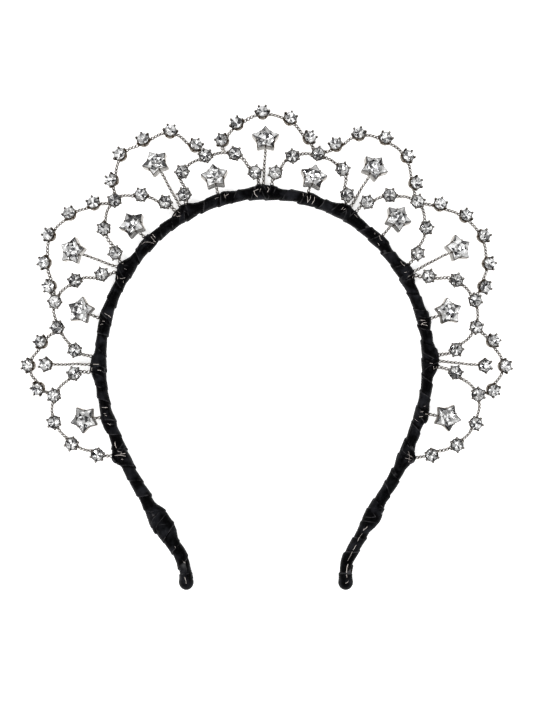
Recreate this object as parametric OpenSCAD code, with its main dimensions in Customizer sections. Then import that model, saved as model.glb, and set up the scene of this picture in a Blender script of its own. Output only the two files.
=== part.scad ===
// Crystal headband: a leather-wound band that carries two rows of twisted-wire scallops.
// Eight inner scallops stand on the band and seven outer ones bridge them. Round crystals in
// pronged settings are threaded along every scallop, and thirteen star crystals sit on stems.
// It lies on its back with the crystals facing up: +X to its right, +Y to its crown, +Z to the front.

/* [Band] */
// Width of the head opening across the ears
head_w = 127; // [124:1:136]
// Thickness of the wound band at the crown, seen from the front
band_w = 4.3; // [4:0.1:4.8]
// Depth of the wound band, from its back to its front
band_d = 5.6; // [5:0.1:6.4]
// Share of their full size to which the leather knots swell
knot_size = 1; // [0.4:0.1:1.2]
// Step from one winding of the leather strip down to the next
wrap_step = 0.3; // [0:0.05:0.4]
// Width of leather that each winding shows
wrap_pitch = 6.8; // [5:0.1:9]

/* [Wire] */
// Thickness of a twisted wire
wire_d = 0.9; // [0.7:0.05:1]
// Gap left between separate pieces
gap = 0.15; // [0.1:0.01:0.2]

/* [Round crystals] */
// Width of a round crystal
stone_d = 4.3; // [4:0.1:4.4]
// Height of its girdle above the wire
girdle_z = 2.5; // [2.5:0.1:2.8]
// Outward lean of the crystals on the inner scallops
inner_lean = 9; // [0:1:15]
// Outward lean of the crystals on the outer scallops
outer_lean = 28; // [15:1:30]

/* [Star crystals] */
// Star crystal from its middle to a tip
star_r = 4.9; // [4.6:0.1:5]
// Outward lean of the stars by the crown
star_lean = 28; // [20:1:30]

/* [Hidden] */
// Head width that the tables below are charted for, and the growth from it
chart_w = 127;
grow = head_w / chart_w;

// From the head's centre to the middle of the whole piece, which is the frame's origin
middle = [1.2, 9.2] * grow;

// Band line, from the left tip over the crown to the right tip: degrees clockwise from the crown,
// reach from the head's centre, and the band's thickness against that at the crown
TURN = 0;
REACH = 1;
THICK = 2;
BAND_LINE = [
    [-160.2, 91, 1.16], [-159, 87, 1.12], [-156.5, 82, 1.14], [-152, 78, 1.2], [-146, 75, 1.14],
    [-138.5, 70.1, 1.14], [-130, 67.5, 1.08], [-118, 65.3, 1.04], [-104, 65, 1], [-88, 65.4, 1],
    [-70, 66.3, 1], [-50, 67.7, 1], [-28, 69.4, 1], [0, 70.6, 1], [28, 70, 1], [50, 68.2, 1],
    [70, 66.9, 1], [88, 65.9, 1], [104, 65.3, 1], [118, 65.5, 1.04], [130, 67.9, 1.08],
    [139, 70.3, 1.08], [147, 75.1, 1.08], [151.5, 78.5, 1.08], [156, 83, 1.1],
    [158, 87.6, 1.12], [159, 91.7, 1.16]
];

// Knots, where the leather is wound over wire ends or over itself: degrees from the crown,
// swelling on the outer and on the inner side, and half its length in degrees
OUTWARD = 1;
INWARD = 2;
SPAN = 3;
KNOTS = [
    [-146, 0, 3, 6], [-120.7, 1.5, 0.2, 4], [-108.5, 0.6, 0.3, 3], [-89, 1.4, 0.2, 5],
    [-72.5, 0.4, 0.2, 4], [-54, 1.9, 0.4, 4], [-42.5, 0.5, 0.2, 3], [-26.5, 1.6, 0.3, 4],
    [-13.5, 0.4, 0.2, 4], [0, 1.1, 0.3, 5], [14, 0.4, 0.2, 4], [27.3, 1.5, 0.1, 4.5], [42, 0.5, 0.1, 4],
    [55.3, 1.6, 0.2, 4.5], [72.5, 0.6, 0.2, 4], [86.3, 1.7, 0.3, 6], [105.5, 0.8, 0.2, 4],
    [120.8, 1.1, 0.2, 4.5], [143, 0.9, 0.6, 4.5]
];

// Scallops, from the left to the right. The hub is where the stem leads: degrees from the crown and
// reach from the head's centre, then the star's tip and the stem's foot in degrees from the crown.
// LEANING is the lean of what sits on the stem, against the lean of the stars by the crown.
// START and END are the wire's two feet on the band, in degrees, or on an outer scallop the crystals
// of the inner scallops that it is tied to, counted along their wires, where 3.5 is between two.
// CRYSTALS gives each crystal's turn about the hub, from straight outward, and its reach from it.
HUB_TURN = 0;
HUB_REACH = 1;
STAR_TIP = 2;
STEM_TURN = 3;
LEANING = 4;
START = 5;
END = 6;
CRYSTALS = 7;
INNER = [
    [-105.5, 73.75, -32, -106.5, 0.4, -119.5, -90.5,
        [[-94, 14.5], [-45, 10.75], [11, 12.25], [53, 15.25], [92, 18.25]]],
    [-72, 76.25, 9, -72.5, 0.6, -85.5, -56.5,
        [[-98.5, 15.5], [-52.5, 11.25], [1, 11], [60, 12], [102, 16.25]]],
    [-42, 77.75, -30, -42, 1, -53, -29,
        [[-106, 12.75], [-54.5, 11.25], [5.5, 12], [57, 12], [97, 15.25]]],
    [-14.2, 79.25, -9, -14.5, 1, -25, -1.5,
        [[-105.5, 13.5], [-66.5, 12.75], [-9, 9], [55, 12], [97.5, 15.75]]],
    [14.5, 79.25, 12, 14, 1, 2.5, 26.5,
        [[-98, 14.75], [-59, 11.5], [-3, 9.25], [60, 11.75], [103, 14.75]]],
    [41.5, 80.5, 32, 41.5, 0.9, 30.5, 54,
        [[-103, 13.25], [-59, 9.5], [8.5, 10.25], [66, 11.75], [109, 15.5]]],
    [72.5, 77, -6, 73, 0.6, 58, 85,
        [[-101, 15.75], [-57, 12.75], [-5, 11.5], [45, 12.5], [95, 15]]],
    [104.5, 75.25, 29, 105, 0.4, 89, 120.5,
        [[-93, 17.75], [-50, 15.25], [-3, 11.75], [54, 11.5], [97, 15.75]]]
];
OUTER = [
    [-88.5, 86.25, 0, -88, 0.6, 4, 2,
        [[-73, 9.5], [-6, 6.75], [76, 8.5]]],
    [-58, 89.5, 11, -54.5, 0.9, 3, 3,
        [[-90, 16.25], [-55, 11.5], [2.5, 10.75], [54, 14.25], [82.5, 20]]],
    [-27.5, 92.75, -30, -27, 1, 3, 3,
        [[-84, 18], [-49.5, 14], [-1, 10], [52, 13.25], [94, 16.5]]],
    [0.5, 92, 0, 0, 1, 3.5, 3,
        [[-93, 16.5], [-63, 12.25], [-7, 10], [50.5, 12], [89, 16.75]]],
    [28.7, 91.75, 36, 28, 1, 3, 3,
        [[-88.5, 17], [-53, 14], [-8, 12], [42.5, 13.25], [82.5, 16.75]]],
    [58, 91.25, -12, 56.5, 0.9, 3, 3,
        [[-81, 18.25], [-45, 12.75], [6, 10.75], [58.5, 13], [88, 17.75]]],
    [88.8, 87.75, 0, 87, 0.6, 4, 2,
        [[-70, 9.75], [3, 7.75], [72, 9.75]]]
];
// Outer scallops whose stem carries a star: the first and the last carry a round crystal
STAR_ROWS = [2:6];

// Fineness of the band: corners of a section, and degrees between sections on the arch and the legs
band_sides = 12;
arch_end = 126;
arch_step = 2.3;
leg_step = 1.1;
// Fineness of a wire: corners of a section, and pieces of each bend between two crystals
wire_sides = 6;
bend_parts = 3;
// Facets round a crystal, and prongs round its setting
cut_facets = 8;
prongs = 6;

// Height of the wires above the band's back, and a wire's straight run on each side of a stop
boss_d = 3.9;
wire_z = band_d / 2;
run = boss_d / 2 + 2 * gap;

// Round crystal: girdle, crown and pavilion heights, and its table's share of its width
girdle_h = 0.2;
crown_h = 0.5;
pavilion_h = 1.3;
table_share = 0.56;

// Round setting, in heights about the wire's middle: the boss and the cup above it, the seat
// for the crystal with its clearance, and the prongs with their claws
boss_drop = 0.75;
cup_z = 1;
cup_d = stone_d + 0.8;
stone_clear = 0.1;
seat_z = girdle_z - 0.4;
seat_share = 0.79;
prong_d = 0.5;
prong_clear = 0.14;
prong_r = stone_d / 2 + prong_d / 2 + prong_clear;
prong_foot_z = cup_z + 0.5;
claw_z = girdle_z + 0.8;
claw_t = 0.3;
claw_reach = 0.5;

// Star setting and star crystal sizes, in heights about the stem's middle. The dents' share of the
// tips' reach, the wall and how much thinner it is at the dents, its blunt tips, and its clearances
star_dent = 0.63;
star_wall = 0.55;
dent_wall = 0.8 * star_wall;
star_blunt = 0.15;
blunt_turn = 5;
star_clear = 0.12;
tip_clear = 1.5 * star_clear;
star_floor_z = wire_d / 2 + gap;
star_floor_h = 0.4;
star_girdle_z = 3.4;
star_pavilion_h = 2.1;
star_rim_z = star_girdle_z + 0.1;
star_claw_r = 0.28;
star_claw_h = 0.6;
// How far past the hub the middle of a star's girdle shows, seen from the front
star_ahead = 0.7;

// Small helpers
function unit(v) = v / norm(v);
function left_of(t) = [-t[1], t[0]];
function heading(v) = atan2(v[0], v[1]);
function at(turn, reach) = grow * reach * [sin(turn), cos(turn)];
function fraction(x) = x - floor(x);

// Smooth curve through a table's rows, read at x in its first column, by cubic steps whose slopes
// come from each row's neighbours
function row_below(table, x, i = 0) =
    i >= len(table) - 2 || x < table[i + 1][0] ? i : row_below(table, x, i + 1);
function slope(table, column, i) =
    let (a = max(i - 1, 0), b = min(i + 1, len(table) - 1))
    (table[b][column] - table[a][column]) / (table[b][0] - table[a][0]);
function smooth(table, column, x) =
    let (
        i = row_below(table, x),
        w = table[i + 1][0] - table[i][0],
        u = (x - table[i][0]) / w
    )
    table[i][column] * (1 + 2 * u) * pow(1 - u, 2)
    + slope(table, column, i) * w * u * pow(1 - u, 2)
    + table[i + 1][column] * u * u * (3 - 2 * u)
    + slope(table, column, i + 1) * w * u * u * (u - 1);

// Band line and its outer face
function band_point(turn) = at(turn, smooth(BAND_LINE, REACH, turn));
function half_w(turn) = band_w / 2 * smooth(BAND_LINE, THICK, turn);
function swell(turn, side) =
    knot_size * max([for (k = KNOTS) k[side] * pow(cos(90 * min(1, abs(turn - k[TURN]) / k[SPAN])), 2)]);
function band_face(turn) =
    band_point(turn) + at(turn, (half_w(turn) + swell(turn, OUTWARD) + wrap_step) / grow);

// Places on a scallop, and how far short of the hub a leaning star stands on its stem
function hub(row) = at(row[HUB_TURN], row[HUB_REACH]);
function stem_lean(row) = star_lean * row[LEANING];
function star_back(row) = star_girdle_z * sin(stem_lean(row)) - star_ahead;
function bases(row) = [for (c = row[CRYSTALS]) hub(row) + at(row[HUB_TURN] + c[0], c[1])];
function foot(turn) = let (face = band_face(turn)) face + unit(face) * (gap + wire_d / 4);
function travel(stops, i) = unit(stops[min(i + 1, len(stops) - 1)] - stops[max(i - 1, 0)]);

// Wire line through its stops: straight through each setting, and one bend between each two
function bend(a, a_way, b, b_way) =
    let (pull = norm(b - a) / 3)
    [for (j = [0:bend_parts])
        let (u = j / bend_parts, v = 1 - u)
        a * pow(v, 3) + (a + a_way * pull) * 3 * v * v * u
        + (b - b_way * pull) * 3 * v * u * u + b * pow(u, 3)];
function wire_line(stops) =
    let (last = len(stops) - 1)
    [for (i = [0:last - 1])
        let (
            a_way = travel(stops, i),
            b_way = travel(stops, i + 1),
            a = stops[i] + a_way * (i == 0 ? 0 : run),
            b = stops[i + 1] - b_way * (i + 1 == last ? 0 : run)
        )
        each bend(a, a_way, b, b_way)];

// Stops of an inner wire, and of an outer wire, which ends beside the inner crystals it is tied to
function inner_stops(k) =
    let (row = INNER[k - 1])
    concat([foot(row[START])], bases(row), [foot(row[END])]);
function tie_middle(k, place) =
    let (stops = inner_stops(k), line = wire_line(stops), spot = place * (bend_parts + 1))
    place == floor(place) ? stops[place] : line[spot];
function tie(k, place, neighbour) =
    let (centre = tie_middle(k, place))
    centre + unit(neighbour - centre) * (place == floor(place) ? run + gap : wire_d + gap);
function outer_stops(k) =
    let (row = OUTER[k - 1], own = bases(row))
    concat([tie(k, row[START], own[0])], own, [tie(k + 1, row[END], own[len(own) - 1])]);

// Closed skin over rings of equal length, from the top down, ending in a flat cap or in a point
module skin(rings, point = undef) {
    n = len(rings[0]);
    top = [for (i = [0:n - 1]) i];
    sides = [for (r = [0:len(rings) - 2], i = [0:n - 1])
        let (a = r * n + i, b = r * n + (i + 1) % n)
        each [[a, a + n, b], [b, a + n, b + n]]];
    last = (len(rings) - 1) * n;
    cap = [for (i = [n - 1:-1:0]) last + i];
    cone = [for (i = [0:n - 1]) [last + i, last + n, last + (i + 1) % n]];
    points = [for (ring = rings) each ring];
    polyhedron(
        is_undef(point) ? points : concat(points, [point]),
        is_undef(point) ? concat([top], sides, [cap]) : concat([top], sides, cone)
    );
}

// Wound band: a flattened tube along the band line, stepped by the leather's windings,
// swollen at its knots and domed at its tips. It is flat where it rests on its back.
module band() {
    legs = [for (t = [BAND_LINE[0][TURN]:leg_step:-arch_end]) t];
    arch = [for (t = [-arch_end + arch_step:arch_step:arch_end - 1]) t];
    right = [for (t = [BAND_LINE[len(BAND_LINE) - 1][TURN]:-leg_step:arch_end]) t];
    turns = concat(legs, arch, [for (i = [len(right) - 1:-1:0]) right[i]]);
    line = [for (t = turns) band_point(t)];
    lengths = [for (i = 0, s = 0; i < len(line);
        s = s + (i < len(line) - 1 ? norm(line[i + 1] - line[i]) : 0), i = i + 1) s];
    last = len(line) - 1;
    function section(p, way, turn, length, size) =
        [for (j = [0:band_sides - 1])
            let (
                angle = -360 * j / band_sides,
                side = cos(angle) > 0 ? OUTWARD : INWARD,
                winding = wrap_step * fraction(length / wrap_pitch + j / band_sides),
                across = cos(angle) * (half_w(turn) + swell(turn, side) + winding) * size,
                up = sin(angle) * (band_d / 2 + winding) * size,
                place = p + left_of(way) * across
            )
            [place[0], place[1], max(0, band_d / 2 + up)]];
    function dome(i, sign) =
        let (way = travel(line, i))
        [for (lift = [85, 60, 30])
            section(line[i] + way * sign * sin(lift) * half_w(turns[i]), way, turns[i], lengths[i], cos(lift))];
    tip = dome(last, 1);
    color([0.07, 0.07, 0.08])
    skin(concat(
        dome(0, -1),
        [for (i = [0:last]) section(line[i], travel(line, i), turns[i], lengths[i], 1)],
        [tip[2], tip[1], tip[0]]
    ));
}

// Twisted wire as one tube along its stops
module wire(stops) {
    line = wire_line(stops);
    function section(i) =
        let (side = left_of(travel(line, i)))
        [for (j = [0:wire_sides - 1])
            let (
                angle = -360 * j / wire_sides,
                place = line[i] + side * cos(angle) * wire_d / 2
            )
            [place[0], place[1], wire_z + sin(angle) * wire_d / 2]];
    color([0.72, 0.7, 0.68])
    skin([for (i = [0:len(line) - 1]) section(i)]);
}

// Puts a setting or a crystal on its wire: facing the way that it leans, by that many degrees
module seated(place, way, lean) {
    translate([place[0], place[1], wire_z])
    rotate([0, 0, -heading(way)])
    rotate([-lean, 0, 0])
    children();
}

// Every crystal of a scallop, leaning square to its wire
module along(stops, lean) {
    for (i = [1:len(stops) - 2])
        seated(stops[i], left_of(travel(stops, i)), lean)
        children();
}

// Round setting: a boss drilled for the wire, a cup, and prongs with claws over the crystal
module round_setting() {
    color([0.75, 0.74, 0.72])
    difference() {
        union() {
            translate([0, 0, -boss_drop])
            cylinder(d = boss_d, h = boss_drop + cup_z, $fn = 24);
            translate([0, 0, cup_z])
            cylinder(d = cup_d, h = girdle_z - cup_z, $fn = 24);
            for (i = [0:prongs - 1])
                rotate([0, 0, (i + 0.5) * 360 / prongs])
                prong();
        }
        translate([0, 0, seat_z])
        cylinder(d = stone_d + 2 * stone_clear, h = claw_z - claw_t - seat_z, $fn = 24);
        translate([0, 0, girdle_z - pavilion_h - stone_clear])
        cylinder(d = stone_d * seat_share, h = pavilion_h, $fn = 24);
        translate([-boss_d, 0, 0])
        rotate([0, 90, 0])
        cylinder(d = wire_d + 2 * gap, h = 2 * boss_d, $fn = 16);
    }
    module prong() {
        inner = prong_r - prong_d / 2;
        outer = prong_r + prong_d / 2;
        translate([0, prong_d / 2, 0])
        rotate([90, 0, 0])
        linear_extrude(prong_d)
        polygon([
            [inner, prong_foot_z], [outer, prong_foot_z], [outer, claw_z],
            [prong_r - claw_reach, claw_z], [prong_r - claw_reach, claw_z - claw_t], [inner, claw_z - claw_t]
        ]);
    }
}

// Round brilliant: an eight-sided table, sixteen crown facets, a girdle and eight pavilion facets
module round_stone() {
    function ring(radius, z, shift) =
        [for (i = [0:cut_facets - 1])
            let (angle = -360 * (i + shift) / cut_facets)
            [radius * cos(angle), radius * sin(angle), z]];
    radius = stone_d / 2;
    color([0.9, 0.94, 0.97])
    translate([0, 0, girdle_z])
    skin(
        [
            ring(radius * table_share, girdle_h + crown_h, 0.5),
            ring(radius, girdle_h, 0),
            ring(radius, 0, 0)
        ],
        [0, 0, -pavilion_h]
    );
}

// Five-pointed outline, clockwise from the tip that points along +Y
function star_outline(radius, dent, blunt = 0) =
    [for (i = [0:4])
        each concat(
            blunt == 0
                ? [radius * [sin(72 * i), cos(72 * i)]]
                : [for (a = [-1, 0, 1])
                    let (turn = 72 * i + a * blunt_turn)
                    (radius - blunt * abs(a)) * [sin(turn), cos(turn)]],
            [dent * [sin(72 * i + 36), cos(72 * i + 36)]]
        )];

// Star setting: a floor and a wall that follow the star, with a claw in each dent
module star_setting() {
    dent = star_r * star_dent;
    color([0.75, 0.74, 0.72])
    difference() {
        union() {
            translate([0, 0, star_floor_z])
            linear_extrude(star_rim_z - star_floor_z)
            polygon(star_outline(star_r + star_wall, dent + dent_wall, star_blunt));
            for (i = [0:4])
                rotate([0, 0, 36 + 72 * i])
                claw(dent);
        }
        translate([0, 0, star_floor_z + star_floor_h])
        linear_extrude(star_rim_z)
        polygon(star_outline(star_r + tip_clear, dent + star_clear));
    }
    module claw(dent) {
        translate([0, dent + star_claw_r + star_clear, star_floor_z])
        cylinder(r = star_claw_r, h = star_girdle_z + star_claw_h - star_floor_z, $fn = 6);
    }
}

// Star crystal: a star-shaped table, twenty crown facets, a girdle and ten pavilion facets
module star_stone() {
    dent = star_r * star_dent;
    function ring(share, z) =
        [for (p = star_outline(star_r * share, dent * share)) [p[0], p[1], z]];
    color([0.9, 0.94, 0.97])
    translate([0, 0, star_girdle_z])
    skin(
        [ring(table_share, girdle_h + crown_h), ring(1, girdle_h), ring(1, 0)],
        [0, 0, -star_pavilion_h]
    );
}

// Star's place: by the hub, leaning away from the stem's foot, with its own tip turned as charted
module starred(row) {
    way = hub(row) - foot(row[STEM_TURN]);
    seated(hub(row) - unit(way) * star_back(row), way, stem_lean(row))
    rotate([0, 0, heading(way) - row[STAR_TIP]])
    children();
}

// Stem from the band to a hub, ending short of the hub's middle
module stem(row, short) {
    start = foot(row[STEM_TURN]);
    way = hub(row) - start;
    color([0.72, 0.7, 0.68])
    translate([start[0], start[1], wire_z])
    rotate([0, 0, -heading(way)])
    rotate([-90, 0, 0])
    cylinder(d = wire_d, h = norm(way) - short, $fn = 24);
}

// Round crystal on the stem of an outer scallop that has no star
module hub_crystal(row) {
    seated(hub(row), hub(row) - foot(row[STEM_TURN]), stem_lean(row))
    children();
}

module inner_crystals(k) {
    along(inner_stops(k), inner_lean) {
        round_setting();
        round_stone();
    }
}

module outer_crystals(k) {
    along(outer_stops(k), outer_lean) {
        round_setting();
        round_stone();
    }
    if (k == 1 || k == len(OUTER))
        hub_crystal(OUTER[k - 1]) {
            round_setting();
            round_stone();
        }
}

module star_stems() {
    for (row = INNER)
        stem(row, star_back(row));
    for (k = STAR_ROWS)
        stem(OUTER[k - 1], star_back(OUTER[k - 1]));
    for (k = [1, len(OUTER)])
        stem(OUTER[k - 1], run + gap);
}

NODES = concat(
    ["band", "star_stems"],
    [for (k = [1:len(INNER)]) each [
        str("inner_wire_", k), str("inner_crystals_", k),
        str("inner_star_setting_", k), str("inner_star_stone_", k)
    ]],
    [for (k = [1:len(OUTER)]) each [str("outer_wire_", k), str("outer_crystals_", k)]],
    [for (k = STAR_ROWS) each [str("outer_star_setting_", k), str("outer_star_stone_", k)]]
);
node = "all";

module placed() {
    translate([-middle[0], -middle[1], 0])
    children();
}

function shown(name) = node == "all" || node == name;

if (shown("band")) placed() band();
if (shown("star_stems")) placed() star_stems();
for (k = [1:len(INNER)]) {
    if (shown(str("inner_wire_", k))) placed() wire(inner_stops(k));
    if (shown(str("inner_crystals_", k))) placed() inner_crystals(k);
    if (shown(str("inner_star_setting_", k))) placed() starred(INNER[k - 1]) star_setting();
    if (shown(str("inner_star_stone_", k))) placed() starred(INNER[k - 1]) star_stone();
}
for (k = [1:len(OUTER)]) {
    if (shown(str("outer_wire_", k))) placed() wire(outer_stops(k));
    if (shown(str("outer_crystals_", k))) placed() outer_crystals(k);
}
for (k = STAR_ROWS) {
    if (shown(str("outer_star_setting_", k))) placed() starred(OUTER[k - 1]) star_setting();
    if (shown(str("outer_star_stone_", k))) placed() starred(OUTER[k - 1]) star_stone();
}
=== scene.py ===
import bpy
import numpy as np
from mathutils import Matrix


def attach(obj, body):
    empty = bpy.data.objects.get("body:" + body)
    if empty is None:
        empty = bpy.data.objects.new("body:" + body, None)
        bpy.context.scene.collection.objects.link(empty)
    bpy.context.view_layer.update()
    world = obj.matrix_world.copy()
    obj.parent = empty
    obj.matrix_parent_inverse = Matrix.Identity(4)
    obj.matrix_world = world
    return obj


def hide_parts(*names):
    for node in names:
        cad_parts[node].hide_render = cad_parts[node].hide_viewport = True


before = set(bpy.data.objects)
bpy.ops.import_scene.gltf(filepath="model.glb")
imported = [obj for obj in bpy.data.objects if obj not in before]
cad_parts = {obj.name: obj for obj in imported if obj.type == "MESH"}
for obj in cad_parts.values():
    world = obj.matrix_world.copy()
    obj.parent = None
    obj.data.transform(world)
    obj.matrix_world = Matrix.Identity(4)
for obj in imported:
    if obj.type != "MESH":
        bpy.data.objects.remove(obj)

MM = 0.001
FRONT = np.array([0.0, 0.0, 1.0])
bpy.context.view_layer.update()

# Head's centre seen from the frame's origin, the band's section at the crown, the height and the
# thickness of the wires, the gap between neighbours and the least height over the floor
HEAD = np.array([-1.2, -9.2])
BAND_WIDE = 4.3
BAND_DEEP = 5.6
WIRE_Z = BAND_DEEP / 2
WIRE_WIDE = 0.9
GAP = 0.15
CLEAR = 0.02

# Band line, from the left tip over the crown to the right tip: degrees clockwise from the crown,
# reach from the head's centre, and thickness against that at the crown
TURN, REACH, THICK = 0, 1, 2
BAND_LINE = [
    [-160.2, 91, 1.16], [-159, 87, 1.12], [-156.5, 82, 1.14], [-152, 78, 1.2], [-146, 75, 1.14],
    [-138.5, 70.1, 1.14], [-130, 67.5, 1.08], [-118, 65.3, 1.04], [-104, 65, 1], [-88, 65.4, 1],
    [-70, 66.3, 1], [-50, 67.7, 1], [-28, 69.4, 1], [0, 70.6, 1], [28, 70, 1], [50, 68.2, 1],
    [70, 66.9, 1], [88, 65.9, 1], [104, 65.3, 1], [118, 65.5, 1.04], [130, 67.9, 1.08],
    [139, 70.3, 1.08], [147, 75.1, 1.08], [151.5, 78.5, 1.08], [156, 83, 1.1],
    [158, 87.6, 1.12], [159, 91.7, 1.16],
]

# Knots in the leather: degrees from the crown, swelling on the outer and the inner side, half length
OUTWARD, INWARD, SPAN = 1, 2, 3
KNOTS = [
    [-146, 0, 3, 6], [-120.7, 1.5, 0.2, 4], [-108.5, 0.6, 0.3, 3], [-89, 1.4, 0.2, 5],
    [-72.5, 0.4, 0.2, 4], [-54, 1.6, 0.3, 3.8], [-42.5, 0.5, 0.2, 3], [-26.5, 1.4, 0.3, 3.8],
    [-13.5, 0.4, 0.2, 4], [0, 1.1, 0.3, 5], [14, 0.4, 0.2, 4], [27.3, 1.5, 0.1, 4.5], [42, 0.5, 0.1, 4],
    [55.3, 1.6, 0.2, 4.5], [72.5, 0.6, 0.2, 4], [86.3, 1.7, 0.3, 6], [105.5, 0.8, 0.2, 4],
    [120.8, 1.1, 0.2, 4.5], [143, 0.9, 0.6, 4.5],
]

# Scallops, from the left to the right: the hub's turn and reach, the star's tip, the stem's foot,
# the share of STAR_LEAN that the star or the crystal on the stem leans by, the wire's two ends and
# the crystals' turns and reaches about the hub, as in the part itself
HUB_TURN, HUB_REACH, STAR_TIP, STEM_TURN, LEANING, START, END, CRYSTALS = range(8)
INNER = [
    [-105.5, 73.75, -32, -106.5, 0.4, -119.5, -90.5,
     [[-94, 14.5], [-45, 10.75], [11, 12.25], [53, 15.25], [92, 18.25]]],
    [-72, 76.25, 9, -72.5, 0.6, -85.5, -56.5,
     [[-98.5, 15.5], [-52.5, 11.25], [1, 11], [60, 12], [102, 16.25]]],
    [-42, 77.75, -30, -42, 1, -53, -29,
     [[-106, 12.75], [-54.5, 11.25], [5.5, 12], [57, 12], [97, 15.25]]],
    [-14.2, 79.25, -9, -14.5, 1, -25, -1.5,
     [[-105.5, 13.5], [-66.5, 12.75], [-9, 9], [55, 12], [97.5, 15.75]]],
    [14.5, 79.25, 12, 14, 1, 2.5, 26.5,
     [[-98, 14.75], [-59, 11.5], [-3, 9.25], [60, 11.75], [103, 14.75]]],
    [41.5, 80.5, 32, 41.5, 0.9, 30.5, 54,
     [[-103, 13.25], [-59, 9.5], [8.5, 10.25], [66, 11.75], [109, 15.5]]],
    [72.5, 77, -6, 73, 0.6, 58, 85,
     [[-101, 15.75], [-57, 12.75], [-5, 11.5], [45, 12.5], [95, 15]]],
    [104.5, 75.25, 29, 105, 0.4, 89, 120.5,
     [[-93, 17.75], [-50, 15.25], [-3, 11.75], [54, 11.5], [97, 15.75]]],
]
OUTER = [
    [-88.5, 86.25, 0, -88, 0.6, 4, 2,
     [[-73, 9.5], [-6, 6.75], [76, 8.5]]],
    [-58, 89.5, 11, -54.5, 0.9, 3, 3,
     [[-90, 16.25], [-55, 11.5], [2.5, 10.75], [54, 14.25], [82.5, 20]]],
    [-27.5, 92.75, -30, -27, 1, 3, 3,
     [[-84, 18], [-49.5, 14], [-1, 10], [52, 13.25], [94, 16.5]]],
    [0.5, 92, 0, 0, 1, 3.5, 3,
     [[-93, 16.5], [-63, 12.25], [-7, 10], [50.5, 12], [89, 16.75]]],
    [28.7, 91.75, 36, 28, 1, 3, 3,
     [[-88.5, 17], [-53, 14], [-8, 12], [42.5, 13.25], [82.5, 16.75]]],
    [58, 91.25, -12, 56.5, 0.9, 3, 3,
     [[-81, 18.25], [-45, 12.75], [6, 10.75], [58.5, 13], [88, 17.75]]],
    [88.8, 87.75, 0, 87, 0.6, 4, 2,
     [[-70, 9.75], [3, 7.75], [72, 9.75]]],
]
# Outer scallops with a star on their stem; the first and the last one have a round crystal
STAR_ROWS = range(2, 7)
# Straight parts that a solid wire has in a bend, the width of a round setting's boss, the wire's
# straight run beside a crystal's middle, and the leans of the crystals in degrees
BEND_PARTS = 3
BOSS_WIDE = 3.9
RUN = BOSS_WIDE / 2 + 2 * GAP
INNER_LEAN, OUTER_LEAN, STAR_LEAN = 9, 28, 28


# Small helpers

def unit(v):
    """Vectors cut to length 1, along the last axis."""
    return v / np.linalg.norm(v, axis=-1, keepdims=True)


def left_of(way):
    """Ways in the plane, each turned a quarter to the left."""
    return np.stack([-way[..., 1], way[..., 0]], -1)


def ramp(value, low, high):
    """How far a value has come on the way from low to high, from 0 to 1."""
    return np.clip((value - low) / (high - low), 0, 1)


def circle(count, start=0.0):
    """Even angles round a full turn from a start, in radians."""
    return np.linspace(start, start + 2 * np.pi, count, endpoint=False)


def stacked(*values):
    """Values stretched to one size and stacked: coordinates of points, or corners of faces."""
    return np.stack(np.broadcast_arrays(*values), -1)


def at_height(flat, z):
    """Points of the plane put at a height, or each one at its own."""
    return np.concatenate([flat, np.broadcast_to(z, flat.shape[:-1])[..., None]], -1)


def lengths_along(path):
    """Length from a path's first point to each of its points."""
    return np.concatenate([[0], np.cumsum(np.linalg.norm(np.diff(path, axis=0), axis=1))])


def place(turn, reach, centre=HEAD):
    """Point at a turn clockwise from the crown, in degrees, and a reach from a centre."""
    turn = np.radians(turn)
    return centre + stacked(np.sin(turn), np.cos(turn)) * np.asarray(reach)[..., None]


def curve(table, column, x):
    """Cubic curve through a table's rows, read at x in its first column. Each row's slope is the
    one between its two neighbours, and a stretch of width w blends values a, b and slopes p, q as
    a(1+2u)(1-u)^2 + pwu(1-u)^2 + bu^2(3-2u) + qwu^2(u-1)."""
    rows = np.array([[row[0], row[column]] for row in table], float)
    keys, values = rows.T
    order = np.arange(len(rows))
    before, after = np.maximum(order - 1, 0), np.minimum(order + 1, len(rows) - 1)
    slopes = (values[after] - values[before]) / (keys[after] - keys[before])
    i = np.clip(np.searchsorted(keys, x, side="right") - 1, 0, len(rows) - 2)
    w = keys[i + 1] - keys[i]
    u = (x - keys[i]) / w
    return (values[i] * (1 + 2 * u) * (1 - u) ** 2 + slopes[i] * w * u * (1 - u) ** 2
            + values[i + 1] * u * u * (3 - 2 * u) + slopes[i + 1] * w * u * u * (u - 1))


# Sine waves in a ripple, and the bounds of their pace in radians for each unit
WAVES, SLOWEST, QUICKEST = 9, 0.6, 2.4


def ripple(x, y, seed):
    """Soft noise from -1 to 1: a sum of sine waves over x and y, with seeded headings and lengths."""
    rng = np.random.default_rng(seed)
    heading = rng.uniform(0, np.pi, WAVES)
    pace = rng.uniform(SLOWEST, QUICKEST, WAVES)
    shift = rng.uniform(0, 2 * np.pi, WAVES)
    total = sum(np.sin(p * (x * np.cos(h) + y * np.sin(h)) + s)
                for h, p, s in zip(heading, pace, shift))
    return total / np.sqrt(WAVES)


# Shapes are dicts: points, faces as arrays of corner numbers, a tone for each face, and a map

def shape(points, faces, uv=None):
    """Shape of points and faces, every tone at 1, and its map at zero unless one is given."""
    points = np.asarray(points, float).reshape(-1, 3)
    uv = np.zeros((len(points), 2)) if uv is None else np.asarray(uv, float).reshape(-1, 2)
    return {"points": points, "faces": faces, "tones": [np.ones(len(f)) for f in faces], "uv": uv,
            "materials": [np.zeros(len(f), int) for f in faces]}


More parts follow.
